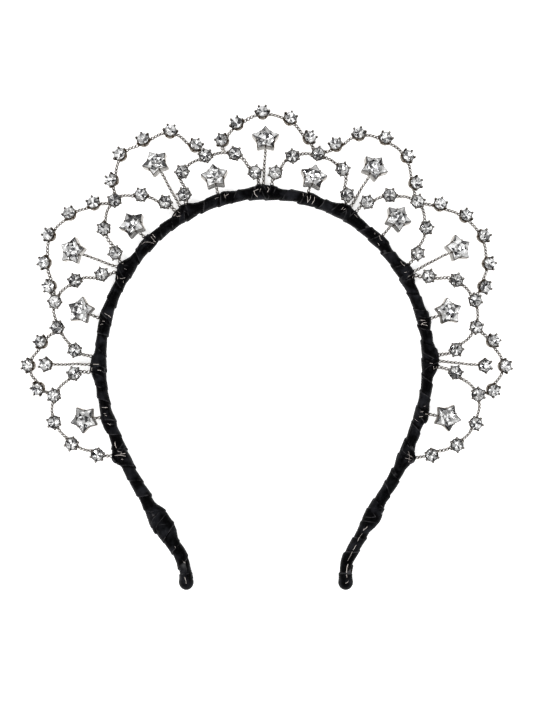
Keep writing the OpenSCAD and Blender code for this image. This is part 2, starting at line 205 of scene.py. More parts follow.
def joined(shapes):
    """Several shapes as one."""
    shapes = list(shapes)
    counts = np.cumsum([0] + [len(s["points"]) for s in shapes])
    return {
        "points": np.concatenate([s["points"] for s in shapes]),
        "faces": [f + n for s, n in zip(shapes, counts) for f in s["faces"]],
        "tones": [t for s in shapes for t in s["tones"]],
        "uv": np.concatenate([s["uv"] for s in shapes]),
        "materials": [m for s in shapes for m in s["materials"]],
    }


def volume(points, faces):
    """Volume inside closed faces: the sum of a . (b x c) / 6 over each face's triangles a, b, c."""
    total = 0.0
    for f in faces:
        for k in range(1, f.shape[1] - 1):
            total += (points[f[:, 0]] * np.cross(points[f[:, k]], points[f[:, k + 1]])).sum() / 6
    return total


def skin(points, closed=False, uv=None):
    """Skin over a grid of points, rows by columns. The columns close on themselves, and so do the
    rows if closed, else one face closes the first row and one the last. All faces look outward."""
    rows, columns = points.shape[:2]
    number = np.arange(rows * columns).reshape(rows, columns)
    r = number if closed else number[:-1]
    down = np.roll(number, -1, 0) if closed else number[1:]
    faces = [np.stack([r, np.roll(r, -1, 1), np.roll(down, -1, 1), down], -1).reshape(-1, 4)]
    if not closed:
        faces += [number[:1, ::-1], number[-1:, :]]
    if volume(points.reshape(-1, 3), faces) < 0:
        faces = [f[:, ::-1] for f in faces]
    return shape(points, faces, uv)


def tube(path, radius, sides, reference=FRONT, flat=1.0, closed=False):
    """Bar along a path: each ring is path + radius (flat cos a * across + sin a * up), where across
    is square to the path and to the reference, and up to both."""
    if closed:
        way = unit(np.roll(path, -1, 0) - np.roll(path, 1, 0))
    else:
        way = unit(np.gradient(path, axis=0))
    across = unit(np.cross(way, reference))
    up = np.cross(across, way)
    a = circle(sides)[None, :, None]
    size = np.broadcast_to(radius, len(path))[:, None, None]
    rings = path[:, None] + size * (flat * np.cos(a) * across[:, None] + np.sin(a) * up[:, None])
    return skin(rings, closed)


def shaded_by_facing(bar, path, sides, partner=None, low=-0.1, deep=0.1):
    """A bar's faces toned by where they look: painted shade lies where they face down and where they
    face the partner bar, whose direction from the path is given at each ring."""
    quads = bar["faces"][0]
    middles = bar["points"][quads].mean(1)
    rows = np.repeat(np.arange(len(path) - 1), sides)
    looks = unit(middles - (path[rows] + path[rows + 1]) / 2)
    # Painted shade: darker where a face looks down, or towards the partner bar
    tone = ramp(looks[:, 2], low, low + 0.5)
    if partner is not None:
        facing = (looks * partner[rows]).sum(1)
        tone = np.minimum(tone, 1 - ramp(facing, 0.25, 0.75))
    bar["tones"][0] = deep + (1 - deep) * tone
    return bar


def resampled(path, step):
    """The same path with points an even step apart, and the length at each of them."""
    length = lengths_along(path)
    even = np.linspace(0, length[-1], max(int(length[-1] / step), 3))
    return np.stack([np.interp(even, length, values) for values in path.T], -1), even


def seated(points, spot, way, lean, spin):
    """Points of a crystal or a setting, put on its wire: spun about its own axis, leaned by `lean`
    degrees towards `way`, and moved to `spot`. Each argument may hold one value for each copy."""
    spot, way = np.atleast_2d(spot), np.atleast_2d(way)
    count = len(spot)
    lean, spin = np.broadcast_to(np.radians(lean), count), np.broadcast_to(np.radians(spin), count)
    c, s = np.cos(spin)[:, None], np.sin(spin)[:, None]
    x, y, z = points.T
    x, y = c * x - s * y, s * x + c * y
    c, s = np.cos(lean)[:, None], np.sin(lean)[:, None]
    y, z = y * c + z * s, z * c - y * s
    ahead = unit(way)[:, None]
    return at_height(spot[:, None] - x[..., None] * left_of(ahead) + y[..., None] * ahead, WIRE_Z + z)


# Painted glints: the share of its light that a facet's foil sends back, dealt at random and then
# multiplied by the facet's own tone, which is low at the seat, and the most that any facet sends;
# its bright and black facets are painted reflections
FACET_GLINT_TONES = (0.0, 0.0, 0.05, 0.2, 0.45, 0.65, 0.8, 0.9, 1.0, 1.0)
BRIGHTEST = 0.86


def copies(one, places, tone_seed=None):
    """One shape repeated at each of the given sets of points, its faces' tones dealt anew as painted glints
    if seeded.
    """
    if tone_seed is None:
        return joined(dict(one, points=points) for points in places)
    rng = np.random.default_rng(tone_seed)
    return joined(dict(one, points=points, tones=[
        np.minimum(BRIGHTEST, t * rng.choice(FACET_GLINT_TONES, len(t))) for t in one["tones"]])
        for points in places)


def make_piece(name, made, materials, replaced=(), sharp=None):
    """Mesh object of a shape, in metres, riding on the part. Edges over `sharp` degrees stay crisp,
    and with no `sharp` every face is flat."""
    mesh = bpy.data.meshes.new(name)
    sizes = np.concatenate([np.full(len(f), f.shape[1]) for f in made["faces"]])
    corners = np.concatenate([f.ravel() for f in made["faces"]])
    mesh.vertices.add(len(made["points"]))
    mesh.vertices.foreach_set("co", (made["points"] * MM).ravel())
    mesh.loops.add(len(corners))
    mesh.loops.foreach_set("vertex_index", corners)
    mesh.polygons.add(len(sizes))
    mesh.polygons.foreach_set("loop_start", np.concatenate([[0], np.cumsum(sizes)[:-1]]))
    mesh.polygons.foreach_set("material_index", np.concatenate(made["materials"]))
    mesh.uv_layers.new(name="strip").data.foreach_set("uv", made["uv"][corners].ravel())
    tone = mesh.attributes.new("tone", "FLOAT", "FACE")
    tone.data.foreach_set("value", np.concatenate(made["tones"]))
    mesh.polygons.foreach_set("use_smooth", np.full(len(sizes), sharp is not None))
    mesh.update(calc_edges=True)
    mesh.validate()
    if sharp is not None:
        mesh.set_sharp_from_angle(angle=np.radians(sharp))
    for material in materials:
        mesh.materials.append(material)
    piece = bpy.data.objects.new(name, mesh)
    bpy.context.scene.collection.objects.link(piece)
    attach(piece, "root")
    if replaced:
        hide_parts(*replaced)


# Shader groups that several finishes share

class Nodes:
    """A node tree, with short calls to add and to link its nodes."""

    def __init__(self, tree):
        self.tree = tree

    def add(self, kind, values=(), **settings):
        """New node with these settings, its inputs linked to sockets or set to plain values."""
        node = self.tree.nodes.new(kind)
        for key, value in settings.items():
            setattr(node, key, value)
        for key, value in dict(values).items():
            if isinstance(value, bpy.types.NodeSocket):
                self.tree.links.new(value, node.inputs[key])
            else:
                node.inputs[key].default_value = value
        return node

    def feed(self, node, **sources):
        """Link sockets to a node's inputs of the same names."""
        for name, source in sources.items():
            self.tree.links.new(source, node.inputs[name.replace("_", " ")])

    def here(self):
        """Place on the piece, in its own coordinates."""
        return self.add("ShaderNodeTexCoord").outputs["Object"]

    def face_tone(self):
        """Tone that is kept on each face."""
        return self.add("ShaderNodeAttribute", attribute_name="tone").outputs["Fac"]

    def maths(self, operation, a, b, clamp=False):
        """One sum of two values."""
        return self.add("ShaderNodeMath", {0: a, 1: b}, operation=operation, use_clamp=clamp).outputs[0]

    def spread(self, value, low, high, to_low=0.0, to_high=1.0):
        """Value carried from one span to another, and held inside it."""
        node = self.add("ShaderNodeMapRange", {"Value": value, "From Min": low, "From Max": high,
                                               "To Min": to_low, "To Max": to_high})
        return node.outputs["Result"]

    def noise(self, vector, scale, detail, stretch=None):
        """Soft noise over a vector, which is stretched first if asked."""
        if stretch is not None:
            vector = self.add("ShaderNodeMapping", {"Vector": vector, "Scale": stretch}).outputs[0]
        node = self.add("ShaderNodeTexNoise", {"Vector": vector, "Scale": scale, "Detail": detail,
                                               "Roughness": 0.55})
        return node.outputs[0]

    def between(self, share, a, b):
        """Colour a share of the way from a to b."""
        return self.add("ShaderNodeMix", {0: share, 6: a, 7: b}, data_type="RGBA").outputs[2]

    def bump(self, height, strength, deep):
        """Normals tilted by a height, its depth in millimetres."""
        node = self.add("ShaderNodeBump", {"Height": height, "Strength": strength, "Distance": deep * MM})
        return node.outputs[0]


def new_group(name, inputs, outputs):
    """Empty shader group: a vector input, float inputs with their values, and float outputs."""
    tree = bpy.data.node_groups.new(name, "ShaderNodeTree")
    tree.interface.new_socket(name="Vector", in_out="INPUT", socket_type="NodeSocketVector")
    for label, value in inputs.items():
        socket = tree.interface.new_socket(name=label, in_out="INPUT", socket_type="NodeSocketFloat")
        socket.default_value = value
    for label in outputs:
        tree.interface.new_socket(name=label, in_out="OUTPUT", socket_type="NodeSocketFloat")
    nodes = Nodes(tree)
    return nodes, nodes.add("NodeGroupInput").outputs, nodes.add("NodeGroupOutput")


def hide_grain_group():
    """Grain of a thin hide: pores as the distance to scattered cells, over broad soft unevenness."""
    nodes, given, made = new_group("hide grain", {"Pore scale": 4000.0}, ["Height", "Cloud"])
    cells = nodes.add("ShaderNodeTexVoronoi", {"Vector": given["Vector"], "Scale": given["Pore scale"]},
                      feature="F1")
    pores = nodes.spread(cells.outputs["Distance"], 0.0, 0.7)
    cloud = nodes.noise(given["Vector"], 420.0, detail=4.0)
    nodes.feed(made, Height=nodes.maths("ADD", nodes.maths("MULTIPLY", pores, 0.35), cloud), Cloud=cloud)
    return nodes.tree


def tarnish_group():
    """Mask of tarnish on silver-coloured metal: broad clouds broken up by fine specks, from 0 to 1."""
    nodes, given, made = new_group("tarnish", {"Scale": 300.0, "Amount": 0.5}, ["Mask", "Specks"])
    cloud = nodes.noise(given["Vector"], given["Scale"], detail=2.0)
    specks = nodes.noise(given["Vector"], 2600.0, detail=2.0)
    mixed = nodes.maths("ADD", nodes.maths("MULTIPLY", cloud, 0.7), nodes.maths("MULTIPLY", specks, 0.3))
    mask = nodes.maths("MULTIPLY", nodes.spread(mixed, 0.42, 0.62), given["Amount"])
    nodes.feed(made, Mask=mask, Specks=specks)
    return nodes.tree


HIDE_GRAIN = hide_grain_group()
TARNISH = tarnish_group()


# Finishes

def new_finish(name, **values):
    """Material with one Principled shader, its plain values set on its own sockets."""
    material = bpy.data.materials.new(name)
    material.use_nodes = True
    shader = material.node_tree.nodes["Principled BSDF"]
    for key, value in values.items():
        shader.inputs[key.replace("_", " ")].default_value = value
    return material, Nodes(material.node_tree), shader


# Colours, as shares of red, green and blue light: the black hide, its patches of painted sheen that
# also read as wear, and its raw edge, lightened as a painted highlight. The strip's distances are from
# its exposed edge, in millimetres: the raw edge and its painted highlight fade out over the first pair,
# and the painted shade under the next winding closes in over the second
HIDE_DEEP = (0.0004, 0.0004, 0.0006, 1)
HIDE_WEAR_AND_SHEEN = (0.0095, 0.0098, 0.0118, 1)
HIDE_RAW_AND_HIGHLIGHT = (0.045, 0.044, 0.046, 1)
WHITE, BLACK = (1, 1, 1, 1), (0, 0, 0, 1)
RAW_EDGE_AND_HIGHLIGHT, SHADE_UNDER_NEXT = (0.08, 0.45), (5.4, 6.2)


def leather_finish():
    """Black thin leather: soft patches of painted sheen that also read as wear, raw edges with a painted
    highlight where the strip's map starts (its second value is the distance from an exposed edge),
    painted shade where the next winding covers it, creases and pores."""
    material, nodes, shader = new_finish("black_leather", IOR=1.13, Specular_IOR_Level=0.22)
    strip = nodes.add("ShaderNodeUVMap", uv_map="strip").outputs[0]
    here = nodes.here()
    grain = nodes.add("ShaderNodeGroup", {"Vector": here, "Pore scale": 5200.0},
                      node_tree=HIDE_GRAIN).outputs
    from_edge = nodes.add("ShaderNodeSeparateXYZ", {"Vector": strip}).outputs["Y"]
    # Painted shade where the next winding covers the strip
    unshaded_part = nodes.spread(from_edge, SHADE_UNDER_NEXT[0] * MM, SHADE_UNDER_NEXT[1] * MM, 1.0, 0.0)
    # Patches of painted sheen, also read as wear, only on the part left open
    patches = nodes.spread(nodes.noise(here, 170.0, detail=3.0), 0.48, 0.66)
    colour = nodes.between(nodes.maths("MULTIPLY", patches, unshaded_part), HIDE_DEEP, HIDE_WEAR_AND_SHEEN)
    # Raw edge lightened as a painted highlight
    edge = nodes.spread(from_edge, RAW_EDGE_AND_HIGHLIGHT[0] * MM, RAW_EDGE_AND_HIGHLIGHT[1] * MM, 1.0, 0.0)
    broken = nodes.spread(nodes.noise(here, 330.0, detail=2.0), 0.42, 0.62)
    raw = nodes.between(nodes.maths("MULTIPLY", edge, broken), colour, HIDE_RAW_AND_HIGHLIGHT)
    creases = nodes.noise(strip, 1.0, detail=4.0, stretch=(260.0, 1500.0, 1.0))
    folds = nodes.noise(strip, 1.0, detail=3.0, stretch=(900.0, 220.0, 1.0))
    height = nodes.maths("ADD", nodes.maths("MULTIPLY", grain["Height"], 0.25),
                         nodes.maths("ADD", creases, nodes.maths("MULTIPLY", folds, 0.6)))
    nodes.feed(shader, Base_Color=raw, Roughness=nodes.spread(grain["Cloud"], 0.3, 0.7, 0.2, 0.34),
               Normal=nodes.bump(height, 0.9, 0.3))
    return material


def silver_finish(name, bright, dark, roughness, amount, scale, metallic=1.0):
    """Silver-coloured metal: the bright tone darkens by the tarnish mask and by each face's tone, a painted
    shade.
    """
    material, nodes, shader = new_finish(name, Metallic=metallic, Specular_Tint=(0.55, 0.5, 0.45, 1))
    tarnish = nodes.add("ShaderNodeGroup", {"Vector": nodes.here(), "Scale": scale, "Amount": amount},
                        node_tree=TARNISH).outputs
    # Painted shade: the lower a face's tone, the darker it is painted; it adds to the real tarnish
    painted_shade = nodes.maths("SUBTRACT", 1.0, nodes.face_tone())
    mask = nodes.maths("ADD", tarnish["Mask"], painted_shade, clamp=True)
    nodes.feed(shader, Base_Color=nodes.between(mask, bright, dark),
               Roughness=nodes.spread(mask, 0.0, 1.0, roughness, roughness + 0.22),
               Normal=nodes.bump(tarnish["Specks"], 0.25, 0.04))
    return material


def crystal_finish():
    """Clear lead glass, with a trace of polishing haze."""
    material, nodes, shader = new_finish("cut_crystal", Base_Color=WHITE, Metallic=0.0, IOR=1.5,
                                         Transmission_Weight=1.0, Specular_IOR_Level=0.6)
    haze = nodes.noise(nodes.here(), 1800.0, detail=1.0)
    nodes.feed(shader, Roughness=nodes.spread(haze, 0.45, 0.8, 0.0, 0.05))
    return material


def foil_finish():
    """Silver foil behind a crystal, with painted glints and a painted glow: each facet's own tone sets how
    much light it sends back and how brightly it glows, though it is no lamp.
    """
    material, nodes, shader = new_finish("crystal_foil", Metallic=1.0, Emission_Strength=0.4)
    tone = nodes.face_tone()
    haze = nodes.noise(nodes.here(), 2400.0, detail=1.0)
    # Base colour by the facet's tone is a painted reflection, and the emission by it a painted glow
    nodes.feed(shader, Base_Color=nodes.between(tone, (0.05, 0.05, 0.055, 1), (0.97, 0.975, 0.98, 1)),
               Emission_Color=nodes.between(tone, BLACK, (1.0, 0.995, 0.98, 1)),
               Roughness=nodes.spread(haze, 0.4, 0.8, 0.02, 0.1))
    return material


def floor_finish():
    """Pale studio floor: almost white, with barely visible mottling."""
    material, nodes, shader = new_finish("pale_floor", Specular_IOR_Level=0.2, Emission_Color=WHITE,
                                         Emission_Strength=0.6)
    mottle = nodes.noise(nodes.here(), 30.0, detail=3.0)
    nodes.feed(shader, Base_Color=nodes.between(mottle, (0.93, 0.93, 0.93, 1), (0.95, 0.95, 0.95, 1)),
               Roughness=nodes.spread(mottle, 0.0, 1.0, 0.75, 0.9))
    return material


LEATHER = leather_finish()
WIRE_SILVER = silver_finish(
    "twisted_wire_silver", bright=(0.8, 0.77, 0.73, 1), dark=(0.03, 0.022, 0.016, 1),
    roughness=0.22, amount=0.3, scale=700.0, metallic=0.6)
SETTING_SILVER = silver_finish(
    "setting_silver", bright=(0.5, 0.485, 0.46, 1), dark=(0.022, 0.015, 0.01, 1),
    roughness=0.14, amount=0.2, scale=420.0)
TRAY_SILVER = silver_finish(
    "star_tray_silver", bright=(0.68, 0.67, 0.65, 1), dark=(0.03, 0.022, 0.016, 1),
    roughness=0.24, amount=0.15, scale=420.0, metallic=0.75)
LASHING_SILVER = silver_finish(
    "lashing_silver", bright=(0.66, 0.6, 0.56, 1), dark=(0.03, 0.025, 0.022, 1),
    roughness=0.3, amount=0.6, scale=900.0, metallic=0.6)
CRYSTAL = crystal_finish()
FOIL = foil_finish()


# Band

BAND_STEPS = 6001
ALONG = np.linspace(BAND_LINE[0][TURN], BAND_LINE[-1][TURN], BAND_STEPS)
MIDLINE = place(ALONG, curve(BAND_LINE, REACH, ALONG))
LENGTHS = lengths_along(MIDLINE)
BAND_LONG = LENGTHS[-1]
HEADINGS = unit(np.gradient(MIDLINE, LENGTHS, axis=0))
HALF_WIDE = BAND_WIDE / 2 * curve(BAND_LINE, THICK, ALONG)
SWELLS = np.stack([
    np.max([k[side] * np.cos(np.pi / 2 * np.minimum(1, abs(ALONG - k[TURN]) / k[SPAN]) ** 1.5)
            for k in KNOTS], axis=0) for side in (OUTWARD, INWARD)])


def length_at(turn):
    """Length along the band, from its left tip, at a turn from the crown."""
    return np.interp(turn, ALONG, LENGTHS)


def read_along(values, length):
    """Values kept along the band's midline, read at lengths from its left tip."""
    return np.interp(length, LENGTHS, values)


def band_skin(length, angle, lift, size=1.0, beyond=0.0):
    """Points of the band's skin at a length along it and an angle round it, in radians from outward
    towards the front, raised by lift. With s the size, across = s cos(angle) (half width + knot +
    lift) and up = s sin(angle) (half depth + knot / 3 + lift), flattened where the band rests."""
    length, angle, lift = np.broadcast_arrays(length, angle, lift)
    centre = stacked(*[read_along(values, length) for values in MIDLINE.T])
    way = unit(stacked(*[read_along(values, length) for values in HEADINGS.T]))
    out, inner = read_along(SWELLS[0], length), read_along(SWELLS[1], length)
    swell = np.where(np.cos(angle) > 0, out, inner)
    across = size * np.cos(angle) * (read_along(HALF_WIDE, length) + swell + lift)
    up = size * np.sin(angle) * (BAND_DEEP / 2 + np.maximum(out, inner) / 3 * (np.sin(angle) > 0) + lift)
    flat = centre + left_of(way) * across[..., None] + way * np.asarray(beyond)[..., None]
    return at_height(flat, np.maximum(CLEAR, BAND_DEEP / 2 + up))


# Leather strip's section: distance from its exposed edge along the band, and height
STRIP_SECTION = np.array([
    [0.02, 0.0], [-0.05, 0.2], [0.0, 0.38], [0.14, 0.47], [0.45, 0.45], [1.3, 0.36], [2.6, 0.27],
    [4.0, 0.2], [5.4, 0.1], [6.8, 0.0], [8.2, -0.1], [9.4, -0.16], [9.4, -0.24], [5.5, -0.16],
    [0.5, -0.06],
])
STRIP_PITCH = 6.8
RINGS_PER_TURN = 64
# Its slow and its quick unevenness of pace along the band, and its creases and buckles
PACE_SLOW, PACE_QUICK, CREASED, BUCKLED = 0.75, 0.12, 0.05, 0.09


def wound_strip(start, end, sense, phase, seed):
    """Strip wound round the band as a helix: over a turn a, its exposed edge stands at start +
    pitch a / 2 pi, with an uneven pace, and its angle round the band is sense a + phase."""
    turns = (end - start) / STRIP_PITCH
    a = np.linspace(0, 2 * np.pi * turns, int(turns * RINGS_PER_TURN))[:, None]
    v, height = STRIP_SECTION.T[:, None, :]
    pace = PACE_SLOW * ripple(a * 0.35, 0, seed) + PACE_QUICK * ripple(a * 2.2, 0, seed + 1)
    length = start + STRIP_PITCH * a / (2 * np.pi) + pace + v
    creases = ripple(length * 0.55 + a * 1.9, v * 1.1, seed + 2) * CREASED
    buckles = ripple(a * 0.8, v * 0.5, seed + 3) * BUCKLED
    lift = height + (creases + buckles) * np.clip(v * 1.5 + 0.35, 0, 1)
    around = a * (BAND_WIDE + BAND_DEEP) / 4
    return skin(band_skin(length, sense * a + phase, lift), uv=stacked(around, v) * MM)


# Short strap round a knot: distance from its middle line as a share of its width, and height
WRAP_SECTION = np.array([
    [-0.5, 0.02], [-0.52, 0.25], [-0.47, 0.42], [-0.35, 0.5], [-0.15, 0.56], [0.1, 0.54],
    [0.33, 0.5], [0.47, 0.42], [0.52, 0.24], [0.5, 0.02], [0.0, -0.1],
])
WRAP_RINGS = 96
# Radius on which its map is laid out, how much it wavers along the band, the shares by which its
# width is gathered at the front and is uneven, its creases and wrinkles, and how it thins inward
WRAP_REACH = 3.0
WRAP_WAVER, GATHERED, WRAP_UNEVEN = 0.25, 0.22, 0.12
WRAP_CREASED, WRAP_WRINKLED, WRAP_THIN = 0.09, 0.06, 0.35


def knot_wrap(turn, slant, width, height, shift, seed):
    """Strap wound once round the band at a knot: at an angle a it stands at the knot's length +
    shift + slant cos(a), it is gathered a little narrower at the front, and it thins inward by a
    share t as 1 - t + t cos(a)."""
    a = circle(WRAP_RINGS, -np.pi / 2)[:, None]
    v, lift = WRAP_SECTION.T[:, None, :]
    waver = WRAP_WAVER * ripple(np.cos(a) * 2, np.sin(a) * 2, seed)
    middle = length_at(turn) + shift + slant * np.cos(a) + waver
    gathered = GATHERED * np.maximum(0, np.sin(a))
    wide = width * (1 - gathered + WRAP_UNEVEN * ripple(np.cos(a), np.sin(a), seed + 5))
    creases = WRAP_CREASED * ripple(v * 7, np.cos(a) * 1.5, seed + 1)
    wrinkles = WRAP_WRINKLED * ripple(v * 16, np.sin(a) * 2, seed + 2)
    raised = lift + height + (creases + wrinkles) * ramp(lift, 0, 1 / 3)
    thinned = raised * (1 - WRAP_THIN + WRAP_THIN * np.cos(a))
    uv = stacked(a * WRAP_REACH, (WRAP_SECTION[:, 0].max() - abs(v)) * width) * MM
    return skin(band_skin(middle + wide * v, a, thinned), closed=True, uv=uv)


# Padding's rings and sides, how far short of the tips it stops, and how far under the skin it lies
CORE_RINGS, CORE_SIDES = 300, 20
CORE_SHORT, CORE_UNDER = 0.5, 0.12


def core():
    """Plain padding under the strip, so that no seam looks through: the band's skin let in."""
    length = np.linspace(CORE_SHORT, BAND_LONG - CORE_SHORT, CORE_RINGS)[:, None]
    return skin(band_skin(length, circle(CORE_SIDES)[None], -CORE_UNDER))


# Leather end at a tip: the sleeve's distances from the tip and its lift at each, the dome's angles
# from its rim and its depth, the radius on which the map is laid out, the seam's depth and its width
# as an angle, and the folds and creases
TIP_SLEEVE = np.array([
    [4.4, 0.0], [4.35, 0.3], [4.1, 0.4], [3.4, 0.34], [2.5, 0.4], [1.6, 0.5], [0.8, 0.54],
])
TIP_DOME = np.radians([8, 20, 32, 44, 56, 67, 77, 85])
TIP_DEEP = 3.2
TIP_SIDES = 72
TIP_REACH = 2.6
SEAM_DEEP, SEAM_WIDE = 0.3, 0.09
TIP_FOLDED, TIP_CREASED = 0.07, 0.05


def tip_cap(sign, seed):
    """Rounded leather end at a tip: a sleeve that swells from its hem and a dome of depth d, whose
    rings shrink as cos(b) while they move on by d sin(b), creased along the front."""
    domed = len(TIP_DOME)
    back, lift = np.concatenate([TIP_SLEEVE, [TIP_SLEEVE[-1]] * domed]).T[:, :, None]
    size = np.concatenate([np.ones(len(TIP_SLEEVE)), np.cos(TIP_DOME)])[:, None]
    beyond = np.concatenate([np.zeros(len(TIP_SLEEVE)), np.sin(TIP_DOME) * TIP_DEEP])[:, None]
    a = circle(TIP_SIDES, -np.pi / 2)[None]
    seam = np.exp(-((a - np.pi / 2) / SEAM_WIDE) ** 2) * SEAM_DEEP
    folds = TIP_FOLDED * ripple(a * 2.5, back * 0.9, seed)
    folds = folds + TIP_CREASED * np.sin(5 * a + seed) * ramp(back, 0, 3)
    length = back if sign < 0 else BAND_LONG - back
    points = band_skin(length, a, lift - seam + folds * (lift > 0.1), size, sign * beyond)
    return skin(points, uv=stacked(a * TIP_REACH, TIP_SLEEVE[0, 0] - back + beyond) * MM)


# Straps at the knots: turn from the crown, slant along the band, width, height and shift along it
WRAPS = [
    [-146, 3.2, 5.0, 0.0, -1.5], [-146, -2.2, 4.4, 0.1, 2.2], [-120.7, 1.6, 3.0, 0.0, -1.4],
    [-120.7, -1.2, 2.4, 0.1, 1.6], [-108.5, 1.2, 2.4, 0.0, 0.0], [-89, 2.0, 2.8, 0.0, -2.0],
    [-89, -1.6, 2.6, 0.1, 1.8], [-72.5, 1.6, 2.6, 0.0, 0.4], [-54, 1.8, 2.8, 0.0, -1.4],
    [-54, -1.4, 2.2, 0.1, 1.6], [-42.5, 1.2, 2.4, 0.0, 0.4], [-26.5, 1.8, 2.8, 0.0, -1.6],
    [-26.5, -1.2, 2.2, 0.1, 1.4], [-13.5, 1.4, 2.4, 0.0, 0.5], [0, 1.2, 2.8, 0.0, -2.4],
    [0, -1.6, 2.6, 0.05, 0.4], [0, 1.4, 2.4, 0.0, 3.0], [14, 1.4, 2.4, 0.0, 0.0],
    [27.3, 1.8, 2.8, 0.0, -1.8], [27.3, -1.4, 2.6, 0.1, 1.4], [42, 1.4, 2.4, 0.0, 0.4],
    [55.3, 2.0, 3.0, 0.0, -1.6], [55.3, -1.4, 2.4, 0.1, 1.8], [72.5, 1.2, 2.4, 0.0, 0.0],
    [86.3, 2.2, 3.0, 0.0, -2.6], [86.3, -2.2, 3.0, 0.1, 1.8], [105.5, 1.4, 2.6, 0.0, 0.3],
    [120.8, 1.4, 2.8, 0.0, -1.6], [120.8, -1.0, 2.4, 0.1, 1.8], [143, 1.8, 4.0, 0.05, -2.0],
    [143, -2.0, 3.6, 0.15, 2.2],
]


# Turns from the crown where the legs begin, below the last knots
LEFT_LEG, RIGHT_LEG = -144, 142.5
WRAP_SEED = 60


def leather_band():
    """Band in leather: windings, each with its start, end, sense, phase and seed, straps and tips."""
    left, right = length_at(LEFT_LEG), length_at(RIGHT_LEG)
    windings = [(left - 2, right, -1, 0.6, 11), (2.0, left - 1, 1, 2.0, 31),
                (right - 3, BAND_LONG - 7.5, 1, 0.9, 47)]
    parts = [core()] + [wound_strip(*winding) for winding in windings] + [tip_cap(-1, 3), tip_cap(1, 5)]
    parts += [knot_wrap(*wrap, WRAP_SEED + i) for i, wrap in enumerate(WRAPS)]
    make_piece("leather_band", joined(parts), [LEATHER], ["band"], sharp=50)


# Wires

# Strand's radius, its distance from the wire's middle line, the twist's pitch, the path's step and
# the points in a bend
STRAND = 0.31
STRAND_SIDES = 7
STAND_OFF = 0.48
TWIST_PITCH = 2.7
WIRE_STEP = 0.2
BEND_POINTS = 40
# Most that a wire sways to a side and up, how far from a loose end its strands are parted, by how
# much the pitch grows with the opening and the most that counts, and the painted shade at a crossing
SWAY, RISE, PARTED = 0.12, 0.1, 2.2
STRETCHED, MOST_OPEN = 0.9, 0.35
CROSSING_SHADE = 0.85
# Leather over the band where a wire leaves it, depth of the wire's end in the leather, and an outer
# wire's share of the way in under its coil
HIDE_OVER = 0.3
ROOTED, TUCKED = 1.4, 0.45
INNER_WIRE_SEED, OUTER_WIRE_SEED, STEM_SEED = 100, 200, 300


def scallop_stops(row, ends):
    """A scallop's stops in the plane: its first end, its crystals and its last end."""
    hub = place(row[HUB_TURN], row[HUB_REACH])
    spots = [place(row[HUB_TURN] + turn, reach, hub) for turn, reach in row[CRYSTALS]]
    return np.array([ends[0]] + spots + [ends[1]])


def way_at(stops, i):
    """Wire's heading at a stop: the one from the stop before to the stop after."""
    return unit(stops[min(i + 1, len(stops) - 1)] - stops[max(i - 1, 0)])


def bend(stops, i, u):
    """Wire between stops i and i + 1: straight for RUN beside each crystal, then a cubic bend
    a v^3 + 3 (a + p k) v^2 u + 3 (b - q k) v u^2 + b u^3, with pull k a third of the span."""
    last = len(stops) - 1
    p, q = way_at(stops, i), way_at(stops, i + 1)
    a = stops[i] + p * (0 if i == 0 else RUN)
    b = stops[i + 1] - q * (0 if i + 1 == last else RUN)
    k = np.linalg.norm(b - a) / 3
    u, v = np.asarray(u)[:, None], 1 - np.asarray(u)[:, None]
    return a * v ** 3 + (a + p * k) * 3 * v * v * u + (b - q * k) * 3 * v * u * u + b * u ** 3


def foot(turn):
    """Where a wire meets the band's outer face, at a turn from the crown."""
    length = length_at(turn)
    half = read_along(HALF_WIDE, length) + read_along(SWELLS[0], length)
    reach = curve(BAND_LINE, REACH, turn) + half + HIDE_OVER
    return place(turn, reach + GAP + WIRE_WIDE / 4)


def inner_stops(k):
    """Stops of an inner scallop, from its foot to its other foot."""
    row = INNER[k - 1]
    return scallop_stops(row, (foot(row[START]), foot(row[END])))


def tie(k, spot, neighbour):
    """End of an outer wire beside an inner crystal, or beside the inner wire between two of them."""
    stops = inner_stops(k)
    if spot == int(spot):
        centre, reach = stops[int(spot)], RUN + GAP
    else:
        part = int(spot * (BEND_PARTS + 1))
        i, j = divmod(part, BEND_PARTS + 1)
        centre, reach = bend(stops, i, [j / BEND_PARTS])[0], WIRE_WIDE + GAP
    return centre + unit(neighbour - centre) * reach, centre


def outer_stops(k):
    """Stops of an outer scallop, and the two places under its ends."""
    row = OUTER[k - 1]
    spots = scallop_stops(row, (HEAD, HEAD))[1:-1]
    start, under_start = tie(k, row[START], spots[0])
    end, under_end = tie(k + 1, row[END], spots[-1])
    return np.concatenate([[start], spots, [end]]), under_start, under_end


def wire_path(stops, start, end):
    """Fine path through a scallop's stops, in the plane of the wires, run on to hidden points."""
    u = np.linspace(0, 1, BEND_POINTS)
    return np.concatenate([[start]] + [bend(stops, i, u) for i in range(len(stops) - 1)] + [[end]])


